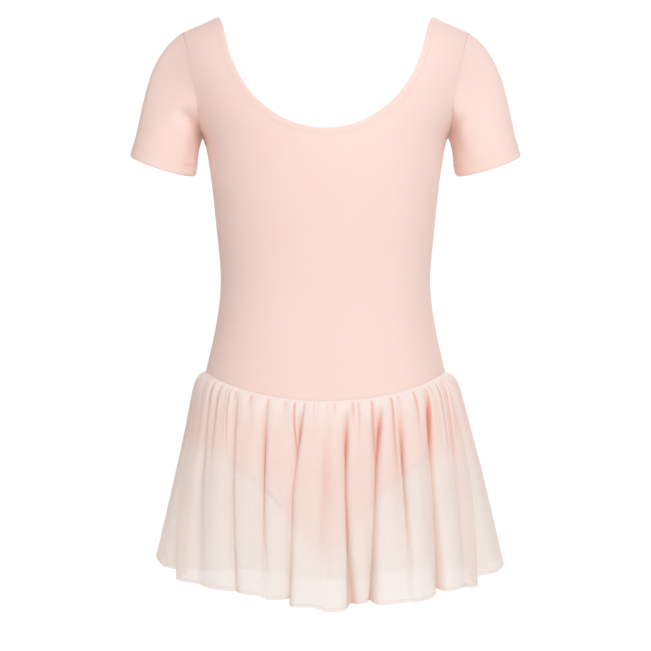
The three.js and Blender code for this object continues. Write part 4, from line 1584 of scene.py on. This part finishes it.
@dataclass
class Studio:
    """Camera at the photo's angle, a plain pale floor and soft light."""

    distance: float = 3.0
    axis_z: float = -0.2931
    field_width: float = 0.6237
    sensor: float = 36.0
    floor_z: float = -1.0
    floor_radius: float = 2.5
    floor_sides: int = 96
    floor_glow_power: float = 3.0
    room_light: tuple[float, float, float] = (0.50, 0.46, 0.445)
    backdrop: tuple[float, float, float] = (1.05, 1.05, 1.05)

    def camera(self) -> None:
        """A level camera straight in front of the dress."""
        data = bpy.data.cameras.new("camera")
        data.sensor_width = self.sensor
        data.lens = self.sensor * self.distance / self.field_width
        eye = placed("camera", data)
        eye.location = (0, -self.distance, self.axis_z)
        eye.rotation_euler = (QUARTER_TURN, 0, 0)
        bpy.context.scene.camera = eye

    def lamp(self, name: str, at: tuple, size: float, watts: float, tint: tuple = (1, 1, 1)) -> None:
        """A square area light that faces the middle of the dress."""
        data = bpy.data.lights.new(name, "AREA")
        data.size = size
        data.energy = watts
        data.color = tint
        lamp = placed(name, data)
        lamp.location = at
        aim = Vector((0, 0, self.axis_z)) - Vector(at)
        lamp.rotation_euler = aim.to_track_quat("-Z", "Y").to_euler()

    def floor(self) -> None:
        """A pale disc that brightens to the backdrop's white towards its rim."""
        turn = 2 * pi * np.arange(self.floor_sides) / self.floor_sides
        rim = np.stack([np.cos(turn), np.sin(turn), 0 * turn], axis=1) * self.floor_radius
        mesh = bpy.data.meshes.new("floor")
        mesh.from_pydata((rim + (0, 0, self.floor_z)).tolist(), [], [list(range(self.floor_sides))])
        disc = placed("floor", mesh)
        tree = NodeTree("pale_floor")
        place, flat, size = tree.node("TexCoord"), tree.node("VectorMath"), tree.node("VectorMath")
        flat.operation, size.operation = "MULTIPLY", "LENGTH"
        flat.inputs[1].default_value = (1, 1, 0)
        tree.feed(flat.inputs[0], place.outputs["Object"])
        tree.feed(size.inputs[0], flat.outputs[0])
        rise = tree.math("MULTIPLY", size.outputs["Value"], 1 / self.floor_radius)
        glow = tree.math("POWER", rise, self.floor_glow_power)
        tree.look(Base_Color=colour(240, 238, 236), Roughness=0.9)
        tree.look(Emission_Color=(1, 1, 1, 1), Emission_Strength=glow)
        mesh.materials.append(tree.material)

    def world(self) -> None:
        """A white backdrop that lights the dress softly."""
        world = bpy.data.worlds.new("studio")
        world.use_nodes = True
        nodes, links = world.node_tree.nodes, world.node_tree.links
        backdrop = nodes["Background"]
        path = nodes.new("ShaderNodeLightPath")
        tone = nodes.new("ShaderNodeMix")
        tone.data_type = "RGBA"
        tone.inputs["A"].default_value = (*self.room_light, 1)
        tone.inputs["B"].default_value = (*self.backdrop, 1)
        links.new(path.outputs["Is Camera Ray"], tone.inputs["Factor"])
        links.new(tone.outputs["Result"], backdrop.inputs["Color"])
        bpy.context.scene.world = world

    def build(self) -> None:
        """Sets up everything that isn't the dress."""
        self.camera()
        self.floor()
        self.world()
        self.lamp("key", (0.8, -2.4, 1.8), 1.4, 52, (0.95, 1.0, 1.03))
        self.lamp("fill", (-1.4, -2.4, 0.3), 1.8, 6, (1.0, 0.88, 0.84))
        self.lamp("back", (0.6, 2.4, 0.9), 1.6, 22)
        bpy.context.scene.view_settings.view_transform = "Standard"


@dataclass
class Dress:
    """The whole dress: panels, sleeves, skirt and stitching, with their finishes."""

    body: BodyForm = field(default_factory=BodyForm)
    made: list[bpy.types.Object] = field(default_factory=list)
    thread: bpy.types.Material | None = None

    def add(self, thing: bpy.types.Object, node: str, slot: str, finish: bpy.types.Material) -> None:
        """Dresses a piece, lets it ride on the body and stand for its node, and reports it."""
        thing.data.materials.append(finish)
        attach(thing, ROOT)
        if node:
            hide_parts(node)
        self.made.append(thing)
        LOG.info("%s: %d faces", thing.name, len(thing.data.polygons))

    def build(self) -> None:
        """Makes every piece in turn."""
        jersey, chiffon, thread = Jersey().material(), Chiffon().material(), SewingThread().material()
        self.thread = thread
        for side, label in ((Side.FRONT, "front"), (Side.BACK, "back")):
            panel = Bodice(self.body, side, BODICE_CREASES[side])
            bodice = panel.build(f"{label}_bodice_cloth")
            self.add(bodice, f"bodice_{label}", "jersey", jersey)
            seam = self.sew(f"{label}_neck_stitches", panel.stitches, "jersey")
        for side, label in ((Side.FRONT, "front"), (Side.BACK, "back")):
            panel = Brief(self.body, side)
            brief = panel.build(f"{label}_brief_cloth")
            self.add(brief, f"brief_{label}", "jersey", jersey)
            seam = self.sew(f"{label}_leg_stitches", panel.stitches, "jersey")
        for hand, label in ((Hand.LEFT, "left"), (Hand.RIGHT, "right")):
            sleeve = Sleeve(self.body, hand, creases=SLEEVE_CREASES[hand])
            cloth = sleeve.build(f"{label}_sleeve_cloth")
            self.add(cloth, f"sleeve_{label}", "jersey", jersey)
            seam = self.sew(f"{label}_sleeve_stitches", sleeve.stitches, "jersey")
        for side, label, folds in ((Side.FRONT, "front", FRONT_FOLDS), (Side.BACK, "back", BACK_FOLDS)):
            panel = Skirt(self.body, side, folds)
            skirt = panel.build(f"{label}_skirt_cloth")
            self.add(skirt, f"skirt_{label}", "chiffon", chiffon)
            seam = self.sew(f"{label}_hem_stitches", panel.stitches, "chiffon")

    def sew(self, name: str, rows: list[tuple[Array, Array]], slot: str) -> bpy.types.Object:
        """Lays rows of stitches on a piece."""
        seam = Stitching().build(name, rows)
        self.add(seam, "", slot, self.thread)
        return seam


def main() -> None:
    logging.basicConfig(level=logging.INFO, format="%(name)s %(message)s")
    Studio().build()
    Dress().build()


if __name__ == "__main__":
    main()
